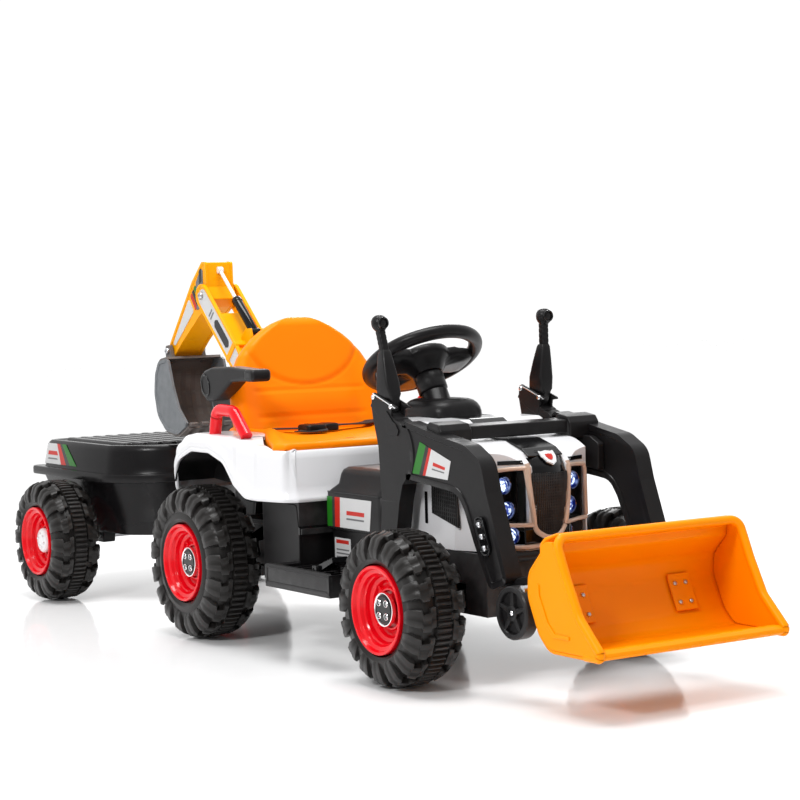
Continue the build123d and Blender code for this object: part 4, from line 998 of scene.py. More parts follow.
column = [(-112, 27), (-97, 26.5), (-92, 22.5), (-64, 22.2), (-62.5, 20.8), (-61, 22.6), (-59, 24),
          (-34, 24.2), (-31, 22)]
lathe("steering_column", column, tuple(HUB_SPOT), TRACTOR, BLACK, axis=tuple(HUB_UP), segments=64, crease=50)
rows = []
for i in range(120):
    a = 2 * math.pi * i / 120
    grip = 0.5 * math.cos(12 * a) if abs(math.sin(a)) > 0.45 else 0
    row = []
    for k in range(24):
        b = 2 * math.pi * k / 24
        out = 90 + (11.4 + (grip if math.cos(b) < -0.2 else 0)) * math.cos(b)
        row.append(hub(out * math.cos(a), out * math.sin(a), 11 * math.sin(b)))
    rows.append(row)
piece("steering_rim", [p for row in rows for p in row], grid_faces(120, 24, True, True), "steering", BLACK,
      replaces="steering_wheel", slot="chassis_black")
rings = []
for up, grow, spoke in ((-30, 0.56, 0.0), (-20, 0.72, 0.05), (-12, 0.95, 0.6), (-8, 1.0, 0.96),
                        (-2, 1.0, 1.0), (3, 1.0, 1.0), (6.4, 0.95, 0.97), (7.4, 0.82, 0.86),
                        (7.0, 0.5, 0.3)):
    ring = []
    for k in range(144):
        a = 2 * math.pi * k / 144
        bulge = 0.0
        for aim in (math.pi / 2, math.pi, 3 * math.pi / 2):
            off = abs((a - aim + math.pi) % (2 * math.pi) - math.pi)
            bulge = max(bulge, 1 - smoothstep(0.26, 0.62, off))
        out = 44 * grow + (84 - 44 * grow) * bulge * spoke
        ring.append(hub(out * math.cos(a), out * math.sin(a), up - 5 * bulge * (out > 60)))
    rings.append(ring)
loft("steering_pad", rings, "steering", BLACK, crease=50)
for side in (-1, 1):
    screw(f"steering_screw_{side + 1}", hub(6, side * 58, -10), tuple(-HUB_UP), 3.6, "steering", CHROME)
keep("horn_button", BLACK_GLOSS, 1.0)
lathe("horn_ring", [(5, 19.6), (8.4, 19.4), (9.2, 18.0), (8.4, 16.8), (6, 16.4)], tuple(HUB_SPOT), "horn",
      CHROME, axis=tuple(HUB_UP), segments=64)

# ------------------------------------------------------------------ centre console
CONSOLE = node_box("centre_console")
rings = []
for z, inset in ((150.5, 5), (203, 5), (204.5, 0.4), (207, 0), (262, 0), (267, 3), (276, 12), (292, 15),
                 (299, 18), (303, 24), (304, 34)):
    corner = 10 if z < 265 else 16
    rings.append([(x, y, z) for x, y in round_rect(CONSOLE.x0 + inset, CONSOLE.x1, -140 + inset, 140 - inset,
                                                   corner)])
loft("console_shell", rings, TRACTOR, BLACK, replaces="centre_console", slot="chassis_black", crease=45,
     bottom=False)
console_groove = round_rect(CONSOLE.x0 - 0.6, CONSOLE.x1, -140.6, 140.6, 10)
loft("console_seam", [[(x, y, z) for x, y in console_groove] for z in (262.6, 264.4)], TRACTOR, BLACK_GLOSS)

# ------------------------------------------------------------------ chassis
keep("chassis_pan", BLACK, 1.6)
for node in ("front_axle_beam", "knuckle_left", "knuckle_right", "tie_rod", "drive_gearboxes", "battery"):
    keep(node, BLACK, 0.8)
for node in ("rear_axle", "trailer_axle"):
    keep(node, STEEL)
keep("pedal", BLACK_GLOSS, 1.2)
for k in range(6):
    x = 309 + 6.5 * k
    z = 162.6 + 2.37 * k
    slab(f"pedal_rib_{k}", [(x, z - 3), (x + 2.6, z - 2), (x + 2.6, z + 1.6), (x, z + 0.8)], -221, -193,
         "pedal_body", BLACK, bevel=0.5)
for side, name in SIDES:
    rail = [(160.5, 118), (356.5, 118), (357.5, 128), (357, 149), (352, 152.5), (166, 152.5), (160.5, 148)]
    slab(f"step_side_{name}", rail, *pair(side, 229.5, 236), TRACTOR, BLACK, corner=4, bevel=2.2,
         border=6, sink=1.6)
    skirt = [(-262, 102), (-180, 102), (66, 116), (186, 116), (190, 246), (70, 246), (56, 200), (-20, 196),
             (-262, 190)]
    slab(f"frame_skirt_{name}", skirt, *pair(side, 110, 114), TRACTOR, BLACK, corner=8, bevel=1.5,
         border=7, sink=1.5)
    base = [(72, 118), (188, 118), (189, 196), (182, 244), (74, 244)]
    slab(f"seat_base_panel_{name}", base, *pair(side, 184, 187.4), TRACTOR, BLACK, corner=8, bevel=1.4)
    step = [(192, 205.5), (192, 196), (186, 194), (186, 210)]
    slab(f"seat_base_ledge_{name}", step, *pair(side, 112, 187.5), TRACTOR, BLACK_GLOSS, bevel=0.8)
pedestal = []
for z, half_x, half_y in ((190, 42, 61), (250, 41, 53), (320, 39.5, 43), (342, 39, 40), (347.8, 36, 37)):
    pedestal.append([(x, y, z) for x, y in round_rect(-222 - half_x, -222 + half_x, -half_y, half_y, 12)])
loft("digger_pedestal", pedestal, TRACTOR, BLACK, crease=50, bottom=False)

# ------------------------------------------------------------------ loader posts and levers
LIFT = (415, 335)
for side, name in SIDES:
    y0, y1 = pair(side, 128, 154.5)
    shape = rounded([(360, 406), (366, 413), (398, 402), (428, 389)], [5, 5, 3, 0])
    shape += about(LIFT, 54.6, 76, -52, 22)
    shape += rounded([(446, 290), (436, 262), (424, 205), (381, 205), (387, 262), (381, 345), (370, 380)],
                     [0, 14, 6, 6, 30, 26, 0])
    slab(f"post_shell_{name}", shape, y0, y1, TRACTOR, BLACK, bevel=3.0,
         **first_side(side, "loader_posts", "chassis_black"))
    inner_face, outer_face = (side * 127.6, side * 131), (side * 151, side * 154.6)
    plate = [(364, 405), (366, 424), (372, 428), (434, 407.5), (435, 404.4), (421, 402.8), (418, 388),
             (413, 379), (384, 391)]
    for tag, span in (("inner", inner_face), ("outer", outer_face)):
        slab(f"lever_plate_{tag}_{name}", plate, *sorted(span), TRACTOR, BLACK,
             corner=[4, 4, 4, 3, 2, 3, 4, 4, 4], bevel=1.0)
        for k, (x, z) in enumerate(((371.5, 420.5), (420, 407.3))):
            face = span[0] if tag == "inner" else span[1]
            outward = (0, side * (-1 if tag == "inner" else 1), 0)
            screw(f"lever_screw_{tag}_{name}_{k}", (x, face, z), outward, 4.2, TRACTOR, CHROME)
        # painted highlight: a thin chrome tube along the plate's top edge stands in for the bright
        # reflection line on that edge
        highlight_line = [(370, face, 426.0), (432, face, 405.0)]
        tube(f"lever_bar_{tag}_{name}", highlight_line, 1.1, TRACTOR, CHROME, sides=10)
    stop = [(404, 402), (412, 398), (424, 386), (434, 380), (441, 371), (437, 363), (410, 366)]
    slab(f"lever_stop_{name}", stop, *pair(side, 129, 156.5), TRACTOR, BLACK, corner=4, bevel=3.0)


def lever_frame(side):
    """Maps a point in a hand lever's own frame to its place: the right one leans back at rest."""
    lean = math.radians(-18) if side < 0 else 0.0

    def place(x, y, z):
        return (404 + x * math.cos(lean) + z * math.sin(lean), side * (141 + y),
                388 - x * math.sin(lean) + z * math.cos(lean))
    return place


for side, name in SIDES:
    place, body = lever_frame(side), f"lever_{name}_body"
    sections = ((6, 0, 17, 16), (16, 1, 30, 16.6), (28, 2, 36, 16.8), (33, 2.5, 37, 22), (52, 4, 33, 25.5),
                (78, 8, 26, 21), (100, 12, 18.5, 16.5), (104, 12.4, 15.5, 14.5))
    rings = []
    for z, shift, wide, deep in sections:
        outline = round_rect(shift - wide / 2, shift + wide / 2, -deep / 2, deep / 2, 4.5)
        rings.append([place(x, y, z) for x, y in outline])
    loft(f"lever_stalk_{name}", rings, body, BLACK, crease=40, replaces=f"lever_{name}",
         slot="chassis_black")
    rings = []
    for k in range(24):
        z = 100 + 2.0 * k
        notch = 0.35 if k % 4 == 3 and 2 < k < 20 else 0.0
        outline = round_rect(13.5 - 6.4 + notch, 13.5 + 6.4 - notch, -6.2 + notch, 6.2 - notch, 3.2)
        rings.append([place(x, y, z) for x, y in outline])
    loft(f"lever_neck_{name}", rings, body, BLACK, crease=40)
    direction = Vector(place(0, 0, 1)) - Vector(place(0, 0, 0))
    knob = [(-13.4, 6.4), (-12, 7.6), (-9, 10.2), (-4.6, 12.2), (0, 12.7), (4.6, 12.1), (9, 9.6), (11.4, 6),
            (12.2, 0.01)]
    lathe(f"lever_knob_{name}", knob, place(15, 0, 149), body, BLACK, axis=tuple(direction), segments=48)
    ring = [(11.0, 9.4), (13.0, 9.2), (13.6, 8.0), (12.6, 6.8), (10.6, 6.4), (10.4, 0.01)]
    lathe(f"lever_cap_{name}", ring, place(15, 0, 149), body, BLACK_GLOSS, axis="X", segments=40)
    lathe(f"lever_pivot_{name}", [(-8.4, 0.01), (-8.4, 10.4), (8.4, 10.4), (8.4, 0.01)],
          (396, side * 141, 388), body, BLACK, segments=40, bevel=0.8)

# ------------------------------------------------------------------ loader arms and crossbar
BUCKET_PIVOT = (746, 0, 160)
arm_top = rounded([(451, 381), (458, 386), (552, 368), (613, 357), (652, 336), (664, 292), (712, 166),
                   (668, 152), (632, 216), (610, 262), (592, 286), (560, 290), (468, 299), (458, 299)],
                  [0, 4, 30, 46, 34, 60, 14, 14, 40, 40, 40, 30, 6, 0], steps=7)
arm_outline = arm_top + about(LIFT, 55.6, -40.4, 50.6, 18)
for side, name in SIDES:
    y0, y1 = pair(side, 128, 156)
    slab(f"arm_shell_{name}", arm_outline, y0, y1, "loader", BLACK, bevel=3.4, border=8.5, sink=1.8,
         **first_side(side, "loader_arms", "chassis_black"), crease=35)
    tongue = [(404, 318), (404, 352), (430, 362), (560, 352), (580, 342), (580, 300), (560, 304), (430, 308)]
    slab(f"arm_tongue_{name}", tongue, *pair(side, 117, 128.4), "loader", BLACK, corner=6, bevel=1.5)
    foot = [(672, 150), (712, 172), (738, 178), (758, 170), (761, 150), (746, 120), (716, 112), (698, 128)]
    slab(f"arm_foot_{name}", foot, *pair(side, 123, 139.5), "loader", BLACK, corner=8, bevel=2.0)
    lathe(f"arm_pin_{name}", [(144, 7), (157, 7), (158, 5.6), (158, 0.01)], BUCKET_PIVOT, "loader", STEEL,
          side=side, segments=40)
    run = Vector((0.356, -0.934))
    wide = Vector((-run.y, run.x))
    mid = Vector((655, 228))
    oval = []
    for k in range(48):
        a = 2 * math.pi * k / 48
        reach = 17.5 * (1 if math.sin(a) > 0 else -1)
        oval.append(tuple(mid + wide * 12.4 * math.cos(a) + run * (12.4 * math.sin(a) + reach)))
    slab(f"arm_oval_{name}", oval, *pair(side, 153, 159.4), "loader", BLACK_GLOSS, bevel=1.4, border=2.6,
         sink=1.4)
    for k in (-1, 0, 1):
        spot = mid + run * 17.5 * k
        screw(f"arm_oval_screw_{name}_{k + 1}", (spot.x, side * 158.6, spot.y), (0, side, 0), 4.6, "loader",
              STEEL)
    block = [(505, 353), (543, 349), (544, 374), (537, 383), (512, 387), (505, 381)]
    slab(f"crossbar_end_{name}", block, *pair(side, 92, 149), "loader", BLACK, corner=4, bevel=3.2)
    socket = [(511, 358), (537, 355), (538, 372), (513, 378)]
    slab(f"crossbar_socket_{name}", socket, *pair(side, 147, 150), "loader", BLACK_GLOSS, corner=3,
         bevel=0.6)
    screw(f"crossbar_screw_{name}", (525, side * 150, 366), (0, side, 0), 4.2, "loader", CHROME)
slab("crossbar_beam", [(510, 360), (536, 358), (536, 378), (510, 381)], -118, 118, "loader", BLACK, corner=3,
     bevel=4.0, replaces="loader_crossbar", slot="chassis_black")

# ------------------------------------------------------------------ guard wheels
for side, name in SIDES:
    body = f"guard_{name}"
    spot = (730, side * 154, 127)
    rim = [(-10.6, 28), (-10.6, 36), (-8.8, 38), (8.8, 38), (10.6, 36), (10.6, 30.5), (8.4, 29.4),
           (5.0, 28.6), (5.0, 12), (9.4, 11.2), (10.4, 9.8), (10.4, 5.4), (8, 5.0), (8, 0.01)]
    lathe(f"guard_disc_{name}", rim, spot, body, BLACK, side=side, segments=80,
          replaces=f"guard_wheel_{name}", slot="chassis_black")
    lathe(f"guard_back_{name}", [(-10.6, 28.2), (-6, 27), (-6, 0.01)], spot, body, BLACK, side=side,
          segments=64)
    for k in range(5):
        a = 2 * math.pi * k / 5 + 0.3
        rings = []
        for r, w in ((9.5, 5.2), (30, 3.6)):
            c, s = math.cos(a), math.sin(a)
            rings.append([(spot[0] + r * c - u * s, spot[1] + side * y, spot[2] + r * s + u * c)
                          for u, y in ((-w, 3.5), (w, 3.5), (w * 0.7, 9.4), (-w * 0.7, 9.4))])
        loft(f"guard_spoke_{name}_{k}", rings, body, BLACK, bevel=0.7)
    screw(f"guard_screw_{name}", (spot[0], spot[1] + side * 8.6, spot[2]), (0, side, 0), 4.0, body, CHROME)

# ------------------------------------------------------------------ loader bucket
BUCKET_BACK = [(828, 242), (818, 236), (813, 229), (813, 217), (784, 187), (782, 157), (804.5, 109),
               (826, 88.5), (922, 88.5)]


def offset_path(path, reach):
    """An open side-view path moved sideways by reach."""
    out = []
    for i, p in enumerate(path):
        run = Vector(path[min(i + 1, len(path) - 1)]) - Vector(path[max(i - 1, 0)])
        across = Vector((run.y, -run.x)).normalized()
        out.append(tuple(Vector(p) + across * reach))
    return out


back_path = dense(rounded([(838, 246)] + BUCKET_BACK + [(960, 88.5)], [0, 0, 6, 5, 12, 24, 30, 30, 26, 0, 0],
                          steps=7)
                  [1:-1], 9)
LIP_ROUND = 15.0
rows = []
for x, z in back_path:
    over = min(LIP_ROUND, max(0.0, z - (242 - LIP_ROUND)))
    reach = 170 - LIP_ROUND + math.sqrt(LIP_ROUND ** 2 - over ** 2)
    rows.append([(x, reach * k / 14, z) for k in range(-14, 15)])
piece("bucket_sheet", [p for row in rows for p in row], grid_faces(len(rows), 29), "loader_bucket",
      BUCKET_ORANGE, thick=5.2, crease=50, replaces="bucket", slot="bucket_orange")
side_front = [(924, 89), (931, 92), (885, 134), (858, 186), (843, 226), (836, 236), (822, 236)]
side_outline = dense([p for p in back_path[:-1] if p[1] < 234] + side_front, 14)
lip_side = rounded([(900, 88), (929, 88), (930, 95), (887, 137), (861, 187), (844, 226)],
                   [0, 4, 6, 40, 40, 0], steps=7)
lip_half = [(x, 166, z) for x, z in dense(lip_side, 8)][:-1]
for k in range(9):
    a = math.pi / 2 * k / 8
    lip_half.append((844 - k, 166 - LIP_ROUND * (1 - math.cos(a)), 226 + LIP_ROUND * math.sin(a)))
lip_path = lip_half + [(836, y, 241) for y in range(120, -121, -20)]
lip_path += [(x, -y, z) for x, y, z in reversed(lip_half)]
tube("bucket_lip", lip_path, 6.6, "loader_bucket", BUCKET_ORANGE, sides=18)
for side, name in SIDES:
    slab(f"bucket_side_{name}", side_outline, *pair(side, 165.5, 171.5), "loader_bucket", BUCKET_ORANGE,
         bevel=1.0, crease=40)
    rail_low = [(800, 176), (800, 160), (818, 122), (836, 106), (872, 106), (872, 112), (840, 112),
                (825, 126), (807, 162), (807, 176)]
    slab(f"bucket_side_rib_{name}", rail_low, *pair(side, 170.5, 173.4), "loader_bucket", BUCKET_ORANGE,
         corner=3, bevel=1.0)
    pad_path = [p for p in back_path if 110 < p[1] < 168 and p[0] < 868]
    pad = offset_path(pad_path, -2.4) + offset_path(pad_path, -5.4)[::-1]
    slab(f"bucket_pad_{name}", pad, *pair(side, 74, 114), "loader_bucket", BUCKET_ORANGE, bevel=1.2,
         crease=50)
    for k, (x, z) in enumerate(((790.6, 151), (803, 125))):
        for y in (84, 104):
            screw(f"bucket_screw_{name}_{k}_{y}", (x, side * y, z), (0.91, 0, 0.42), 3.6, "loader_bucket",
                  STEEL)
    keep_plate = [(777, 150), (777, 180), (752, 180), (733, 171), (733, 152), (744, 145), (765, 146)]
    slab(f"bracket_plate_{name}", keep_plate, *pair(side, 99.5, 120.5), "loader_bucket", BLACK, corner=5,
         bevel=2.0, border=4, sink=1, **first_side(side, "bucket_brackets", "chassis_black"))
    lathe(f"bracket_pin_{name}", [(100, 6), (141, 6), (142, 5), (142, 0.01)], BUCKET_PIVOT, "loader_bucket",
          STEEL, side=side, segments=32)
roll = [(906, 86), (930, 86), (934, 89), (933, 94), (926, 98), (906, 96)]
slab("bucket_front_roll", roll, -168, 168, "loader_bucket", BUCKET_ORANGE, corner=2.5, bevel=1.5, crease=50)
tooth = [(900, 90), (930, 84.8), (934.5, 88.5), (933, 94), (922, 98.5), (902, 95)]
for k in range(8):
    y = -147 + 42 * k
    slab(f"bucket_tooth_{k}", tooth, y - 12.5, y + 12.5, "loader_bucket", BUCKET_ORANGE, corner=3, bevel=2.6)

# ------------------------------------------------------------------ trailer


def trailer_plan(inset, rear, corner, arc_steps=22):
    """The trailer's plan: square with soft corners at the rear and one wide arc at the front."""
    half = 165 - inset
    front = -480 - inset
    rise = front + 599
    radius = (half * half + rise * rise) / (2 * rise)
    reach = math.asin(half / radius)
    arc = []
    for k in range(arc_steps + 1):
        a = -reach + 2 * reach * k / arc_steps
        arc.append((front - radius + radius * math.cos(a), radius * math.sin(a)))
    rear_corner = rounded([(-599, half), (rear, half), (rear, -half), (-599, -half)], [0, corner, corner, 0],
                          steps=6)
    return arc + rear_corner[1:-1]


def trailer_rings(levels):
    """Rings of the trailer's plan from (z, inset, rear, corner) levels."""
    return [[(x, y, z) for x, y in trailer_plan(inset, rear, corner)] for z, inset, rear, corner in levels]


box_levels = ((126, 46, -870, 14), (127.5, 41, -876, 16), (133, 37.5, -880, 18), (190, 26, -894, 18),
              (229, 16.5, -908, 18), (231, 3, -926, 18), (231.6, 0.8, -929, 18), (234, 0, -930, 18),
              (244, 0, -930, 18), (247, 1, -929, 18), (248, 4, -926, 16))
loft("trailer_tub", trailer_rings(box_levels), "trailer", BLACK_TRAILER, crease=34,
     replaces="trailer_box", slot="trailer_black")
lid_levels = ((247.6, 11, -893, 14), (250, 12, -891, 14), (262, 13.5, -889, 16), (290, 16, -884, 16),
              (297, 17.5, -882, 16), (301, 21, -878, 16), (302, 27, -872, 14), (300.5, 31, -868, 12),
              (299.5, 33, -866, 12))
loft("trailer_lid_shell", trailer_rings(lid_levels), "trailer", BLACK_TRAILER, crease=34, bottom=False,
     replaces="trailer_lid", slot="trailer_black")
for k in range(-4, 5):
    y = 27.5 * k
    front_x = -548 - 0.0026 * y * y
    outline = round_rect(-850, front_x, y - 9, y + 9, 7)
    rings = []
    for z, inset in ((298.6, 0), (302.4, 0.3), (304.6, 1.6), (305.0, 4)):
        cx, half_x, half_y = (-850 + front_x) / 2, (front_x + 850) / 2, 9.0
        rings.append([(cx + (x - cx) * (1 - inset / half_x), y + (yy - y) * (1 - inset / half_y), z)
                      for x, yy in outline])
    loft(f"trailer_rib_{k + 4}", rings, "trailer", BLACK_TRAILER, crease=50)
for side, name in SIDES:
    hanger = [(-727, 104), (-687, 104), (-684, 130), (-730, 130)]
    slab(f"trailer_hanger_{name}", hanger, *pair(side, 95, 121), "trailer", BLACK_TRAILER, corner=5,
         bevel=1.6)
keep("trailer_drawbar", BLACK, 1.5)

# ------------------------------------------------------------------ digger
BOOM_FOOT, ELBOW = Vector((-222, 410)), Vector((-405, 585))
boom_along = (ELBOW - BOOM_FOOT).normalized()
boom_across = Vector((boom_along.y, -boom_along.x))


def on_boom(start, run, side_step):
    """A side-view point given along and across the boom."""
    p = start + boom_along * run + boom_across * side_step
    return (p.x, p.y)


keep("digger_turret", BLACK, 1.0)
lathe("turret_collar", [(0.4, 37.8), (14, 37.8), (17, 35), (20.4, 30), (20.4, 0.01)], (-222, 0, 348),
      "turret", BLACK, axis="Z", segments=72)
foot_outline = [on_boom(BOOM_FOOT, -8, 15.5), on_boom(BOOM_FOOT, -14, 0), on_boom(BOOM_FOOT, -8, -15.5),
                on_boom(BOOM_FOOT, 92, -18), on_boom(BOOM_FOOT, 92, 18)]
slab("boom_foot", foot_outline, -23.6, 23.6, "boom_body", YELLOW, corner=[8, 8, 8, 2, 2], bevel=2.0,
     border=5, sink=1.5, replaces="boom", slot="boom_yellow")
cheek = [on_boom(BOOM_FOOT, 60, -18.5), on_boom(BOOM_FOOT, 90, -22), on_boom(ELBOW, 0, -22)]
cheek += [on_boom(ELBOW, 21.5 * math.sin(math.radians(a)), -21.5 * math.cos(math.radians(a)))
          for a in range(15, 180, 15)]
cheek += [on_boom(ELBOW, 0, 22), on_boom(BOOM_FOOT, 90, 22), on_boom(BOOM_FOOT, 60, 18.5)]
cheek = cheek[::-1]
for side, name in SIDES:
    slab(f"boom_cheek_{name}", cheek, *pair(side, 30.2, 37), "boom_body", YELLOW, bevel=1.6, border=4.5,
         sink=1.6, crease=35)
    panel = [on_boom(BOOM_FOOT, 76, -16.2), on_boom(ELBOW, -6, -16.2)]
    panel += [on_boom(ELBOW, 16.2 * math.sin(a) - 6, -16.2 * math.cos(a))
              for a in [math.pi * k / 12 for k in range(1, 12)]]
    panel += [on_boom(ELBOW, -6, 16.2), on_boom(BOOM_FOOT, 76, 16.2)]
    slab(f"boom_label_{name}", panel, *pair(side, 34, 35.9), "boom_body", LABEL_WHITE, bevel=0.4)
    mark = [on_boom(BOOM_FOOT, 122, -9), on_boom(BOOM_FOOT, 178, -9), on_boom(BOOM_FOOT, 186, 0),
            on_boom(BOOM_FOOT, 178, 9), on_boom(BOOM_FOOT, 122, 9), on_boom(BOOM_FOOT, 114, 0)]
    slab(f"boom_mark_{name}", mark, *pair(side, 35, 36.3), "boom_body", BLACK_GLOSS, corner=5, bevel=0.4)
    for k, run in enumerate((196, 204)):
        bar = [on_boom(BOOM_FOOT, run, -9), on_boom(BOOM_FOOT, run + 4, -9), on_boom(BOOM_FOOT, run + 4, 9),
               on_boom(BOOM_FOOT, run, 9)]
        slab(f"boom_stripe_{name}_{k}", bar, *pair(side, 35, 36.2), "boom_body",
             LABEL_GREY, bevel=0.2)
    screw(f"boom_elbow_pin_{name}", (ELBOW.x, side * 36.4, ELBOW.y), (0, side, 0), 7, "boom_body", STEEL)
    screw(f"boom_foot_pin_{name}", (BOOM_FOOT.x, side * 34.6, BOOM_FOOT.y), (0, side, 0), 7, "boom_body",
          STEEL)
band = [on_boom(BOOM_FOOT, 96, -23.4), on_boom(BOOM_FOOT, 108, -23.4), on_boom(BOOM_FOOT, 108, 23.4),
        on_boom(BOOM_FOOT, 96, 23.4)]
slab("boom_band", band, -38, 38, "boom_body", YELLOW, corner=3, bevel=2.0)
slot_top = [on_boom(ELBOW, -92, -20.5), on_boom(ELBOW, -74, -20.5), on_boom(ELBOW, -74, -22.3),
            on_boom(ELBOW, -92, -22.3)]
slab("boom_slot", slot_top, -20, 20, "boom_body", BLACK_GLOSS, bevel=0.3)
core = [on_boom(BOOM_FOOT, 62, -16), on_boom(ELBOW, -68, -20), on_boom(ELBOW, -68, 20),
        on_boom(BOOM_FOOT, 62, 16)]
slab("boom_core", core, -31, 31, "boom_body", YELLOW, corner=3, bevel=2.2)
ears = [on_boom(BOOM_FOOT, 66, 14), on_boom(BOOM_FOOT, 120, 14), (-279, 522), (-262, 523), (-257, 508)]
for side, name in SIDES:
    slab(f"boom_ear_{name}", ears, *pair(side, 9.4, 14), "boom_body", YELLOW, corner=4, bevel=0.9)

stick_outline = [(-398, 648), (-397, 600), (-384, 578), (-400, 562), (-430, 546), (-500, 498), (-540, 466),
                 (-556, 476), (-553, 494), (-455, 612), (-414, 648)]
stick_corner = [7, 10, 14, 10, 20, 30, 10, 10, 16, 26, 8]
for side, name in SIDES:
    slab(f"stick_cheek_{name}", stick_outline, *pair(side, 24, 29), "stick_body", YELLOW,
         corner=stick_corner, bevel=1.5, border=5, sink=1.5, **first_side(side, "stick", "boom_yellow"))
    label_panel = [(-440, 610), (-420, 634), (-412, 634), (-412, 602), (-396, 580), (-408, 570), (-440, 556)]
    slab(f"stick_label_{name}", label_panel, *pair(side, 27, 28.6), "stick_body", LABEL_GREY, corner=5,
         bevel=0.4)
    lower = [(-470, 580), (-452, 556), (-500, 516), (-532, 490), (-540, 494), (-512, 528)]
    slab(f"stick_panel_{name}", lower, *pair(side, 27, 28.6), "stick_body", LABEL_WHITE, corner=6, bevel=0.4)
    for k, paint in enumerate((LABEL_RED, BLACK_GLOSS, GREEN)):
        x, z = -463 + 7 * k, 584 + 7.5 * k
        stripe = [(x, z), (x + 5, z + 5.5), (x + 24, z - 20.5), (x + 19, z - 26)]
        slab(f"stick_stripe_{name}_{k}", stripe, *pair(side, 27.4, 28.9), "stick_body", paint, bevel=0.2)
    slot_cut = [(-426, 630), (-418, 638), (-416, 612), (-426, 606)]
    slab(f"stick_slot_{name}", slot_cut, *pair(side, 27, 29.2), "stick_body", BLACK_GLOSS, corner=3,
         bevel=0.4)
    screw(f"stick_tip_pin_{name}", (-546, side * 38.2, 480), (0, side, 0), 6.5, "digger_bucket_body", STEEL)
spine = [(-399, 647), (-398, 601), (-385, 578), (-401, 563), (-431, 547), (-501, 499), (-539, 468),
         (-545, 472), (-504, 506), (-436, 556), (-408, 572), (-403, 600), (-405, 647)]
slab("stick_front_web", spine, -25, 25, "stick_body", YELLOW, corner=3, bevel=1.0)
back = [(-414, 648), (-455, 612), (-553, 494), (-548, 488), (-500, 540), (-452, 604), (-418, 636)]
slab("stick_back_web", back, -25, 25, "stick_body", YELLOW, corner=3, bevel=1.0)

CYL, ROD = Vector((-270, 515)), Vector((-395, 632))
CYL_FOOT = (CYL.x, 0, CYL.y)
rod_along = (ROD - CYL).normalized()
barrel_axis = (rod_along.x, 0, rod_along.y)
barrel = [(4, 0.01), (4, 7.2), (6, 8.5), (80, 8.5), (81, 9.6), (88, 9.6), (90, 8.6), (90, 3.6)]
lathe("barrel_tube", barrel, CYL_FOOT, "barrel", BLACK_GLOSS, axis=barrel_axis, segments=48,
      replaces="cylinder_barrel", slot="chassis_black")
lathe("barrel_eye", [(-8.6, 0.01), (-8.6, 8), (8.6, 8), (8.6, 0.01)], CYL_FOOT, "barrel", BLACK_GLOSS,
      segments=40, bevel=0.8)
rod_profile = [(30, 0.01), (30, 3.5), (166, 3.5), (166, 0.01)]
lathe("rod_bar", rod_profile, CYL_FOOT, "rod", HUB_WHITE, axis=barrel_axis, segments=32,
      replaces="cylinder_rod", slot="rod_white")
lathe("rod_eye", [(-5, 0.01), (-5, 6.4), (5, 6.4), (5, 0.01)], (ROD.x, 0, ROD.y), "rod", HUB_WHITE,
      segments=40, bevel=0.8)

SCOOP = [(-510, 466), (-541, 461), (-556, 436), (-561, 398), (-550, 356), (-516, 328), (-472, 322),
         (-434, 340)]
scoop_path = dense(rounded([(-490, 470)] + SCOOP + [(-410, 352)], [0, 4, 14, 30, 40, 40, 30, 30, 6, 0],
                           steps=7)[1:-1], 6)
scoop_sheet = offset_path(scoop_path, -0.2) + offset_path(scoop_path, 4.4)[::-1]
slab("scoop_sheet", scoop_sheet, -58, 58, "digger_bucket_body", BUCKET_GREY, bevel=1.0, crease=50,
     replaces="digger_bucket", slot="bucket_grey")
scoop_side = scoop_path + [(-432, 346), (-462, 372), (-484, 414), (-500, 462)]
for side, name in SIDES:
    slab(f"scoop_side_{name}", scoop_side, *pair(side, 57, 62), "digger_bucket_body", SIDE_GREY, bevel=1.4,
         border=6, sink=1.4, crease=40)
    lug = [(-556, 474), (-555, 490), (-541, 492), (-528, 462), (-545, 456), (-553, 462)]
    slab(f"scoop_lug_{name}", lug, *pair(side, 29.6, 38), "digger_bucket_body", BUCKET_GREY, corner=4,
         bevel=1.0)
rib_path = offset_path(scoop_path, 4.4)
rib_body = [p for p in rib_path if p[1] < 452]
scoop_middle = Vector((-495, 392))
rib_floor = [tuple(Vector(p) + (scoop_middle - Vector(p)).normalized() * 5.0) for p in rib_body]
rib = rib_body + rib_floor[::-1]
for k in range(-2, 3):
    y = 21 * k
    slab(f"scoop_rib_{k + 2}", rib, y - 5, y + 5, "digger_bucket_body", BUCKET_GREY, bevel=3.2, crease=50)
for k in range(5):
    y = -48 + 24 * k
    tooth = [(-450, 330), (-424, 341.5), (-423, 345), (-427, 347.5), (-450, 342)]
    slab(f"scoop_tooth_{k}", tooth, y - 7.5, y + 7.5, "digger_bucket_body", BUCKET_GREY, bevel=1.0)

# ------------------------------------------------------------------ generic stickers
for side, name in SIDES:
    label(f"arm_label_{name}", ((496, 357), (576, 332), (567, 304), (474, 309)), side * 154.3, side,
          "loader", shares=(0.20, 0.30, 0.38))
    label(f"console_label_{name}", ((201, 256), (334, 256), (327, 208), (201, 208)), side * 139.9, side,
          TRACTOR, shares=(0.12, 0.18, 0.30))
    warning = [(214, 150), (262, 150), (262, 190), (214, 190)]
    slab(f"notice_{name}", warning, *pair(side, 134.9, 135.8), TRACTOR, LABEL_WHITE, corner=2, bevel=0)
    for k, z in enumerate((181, 170, 164, 158)):
        bar = [(219, z), (257, z), (257, z + (6 if k == 0 else 2.4)), (219, z + (6 if k == 0 else 2.4))]
        slab(f"notice_line_{name}_{k}", bar, *pair(side, 135, 136.0), TRACTOR,
             LABEL_RED if k == 0 else LABEL_GREY, bevel=0)


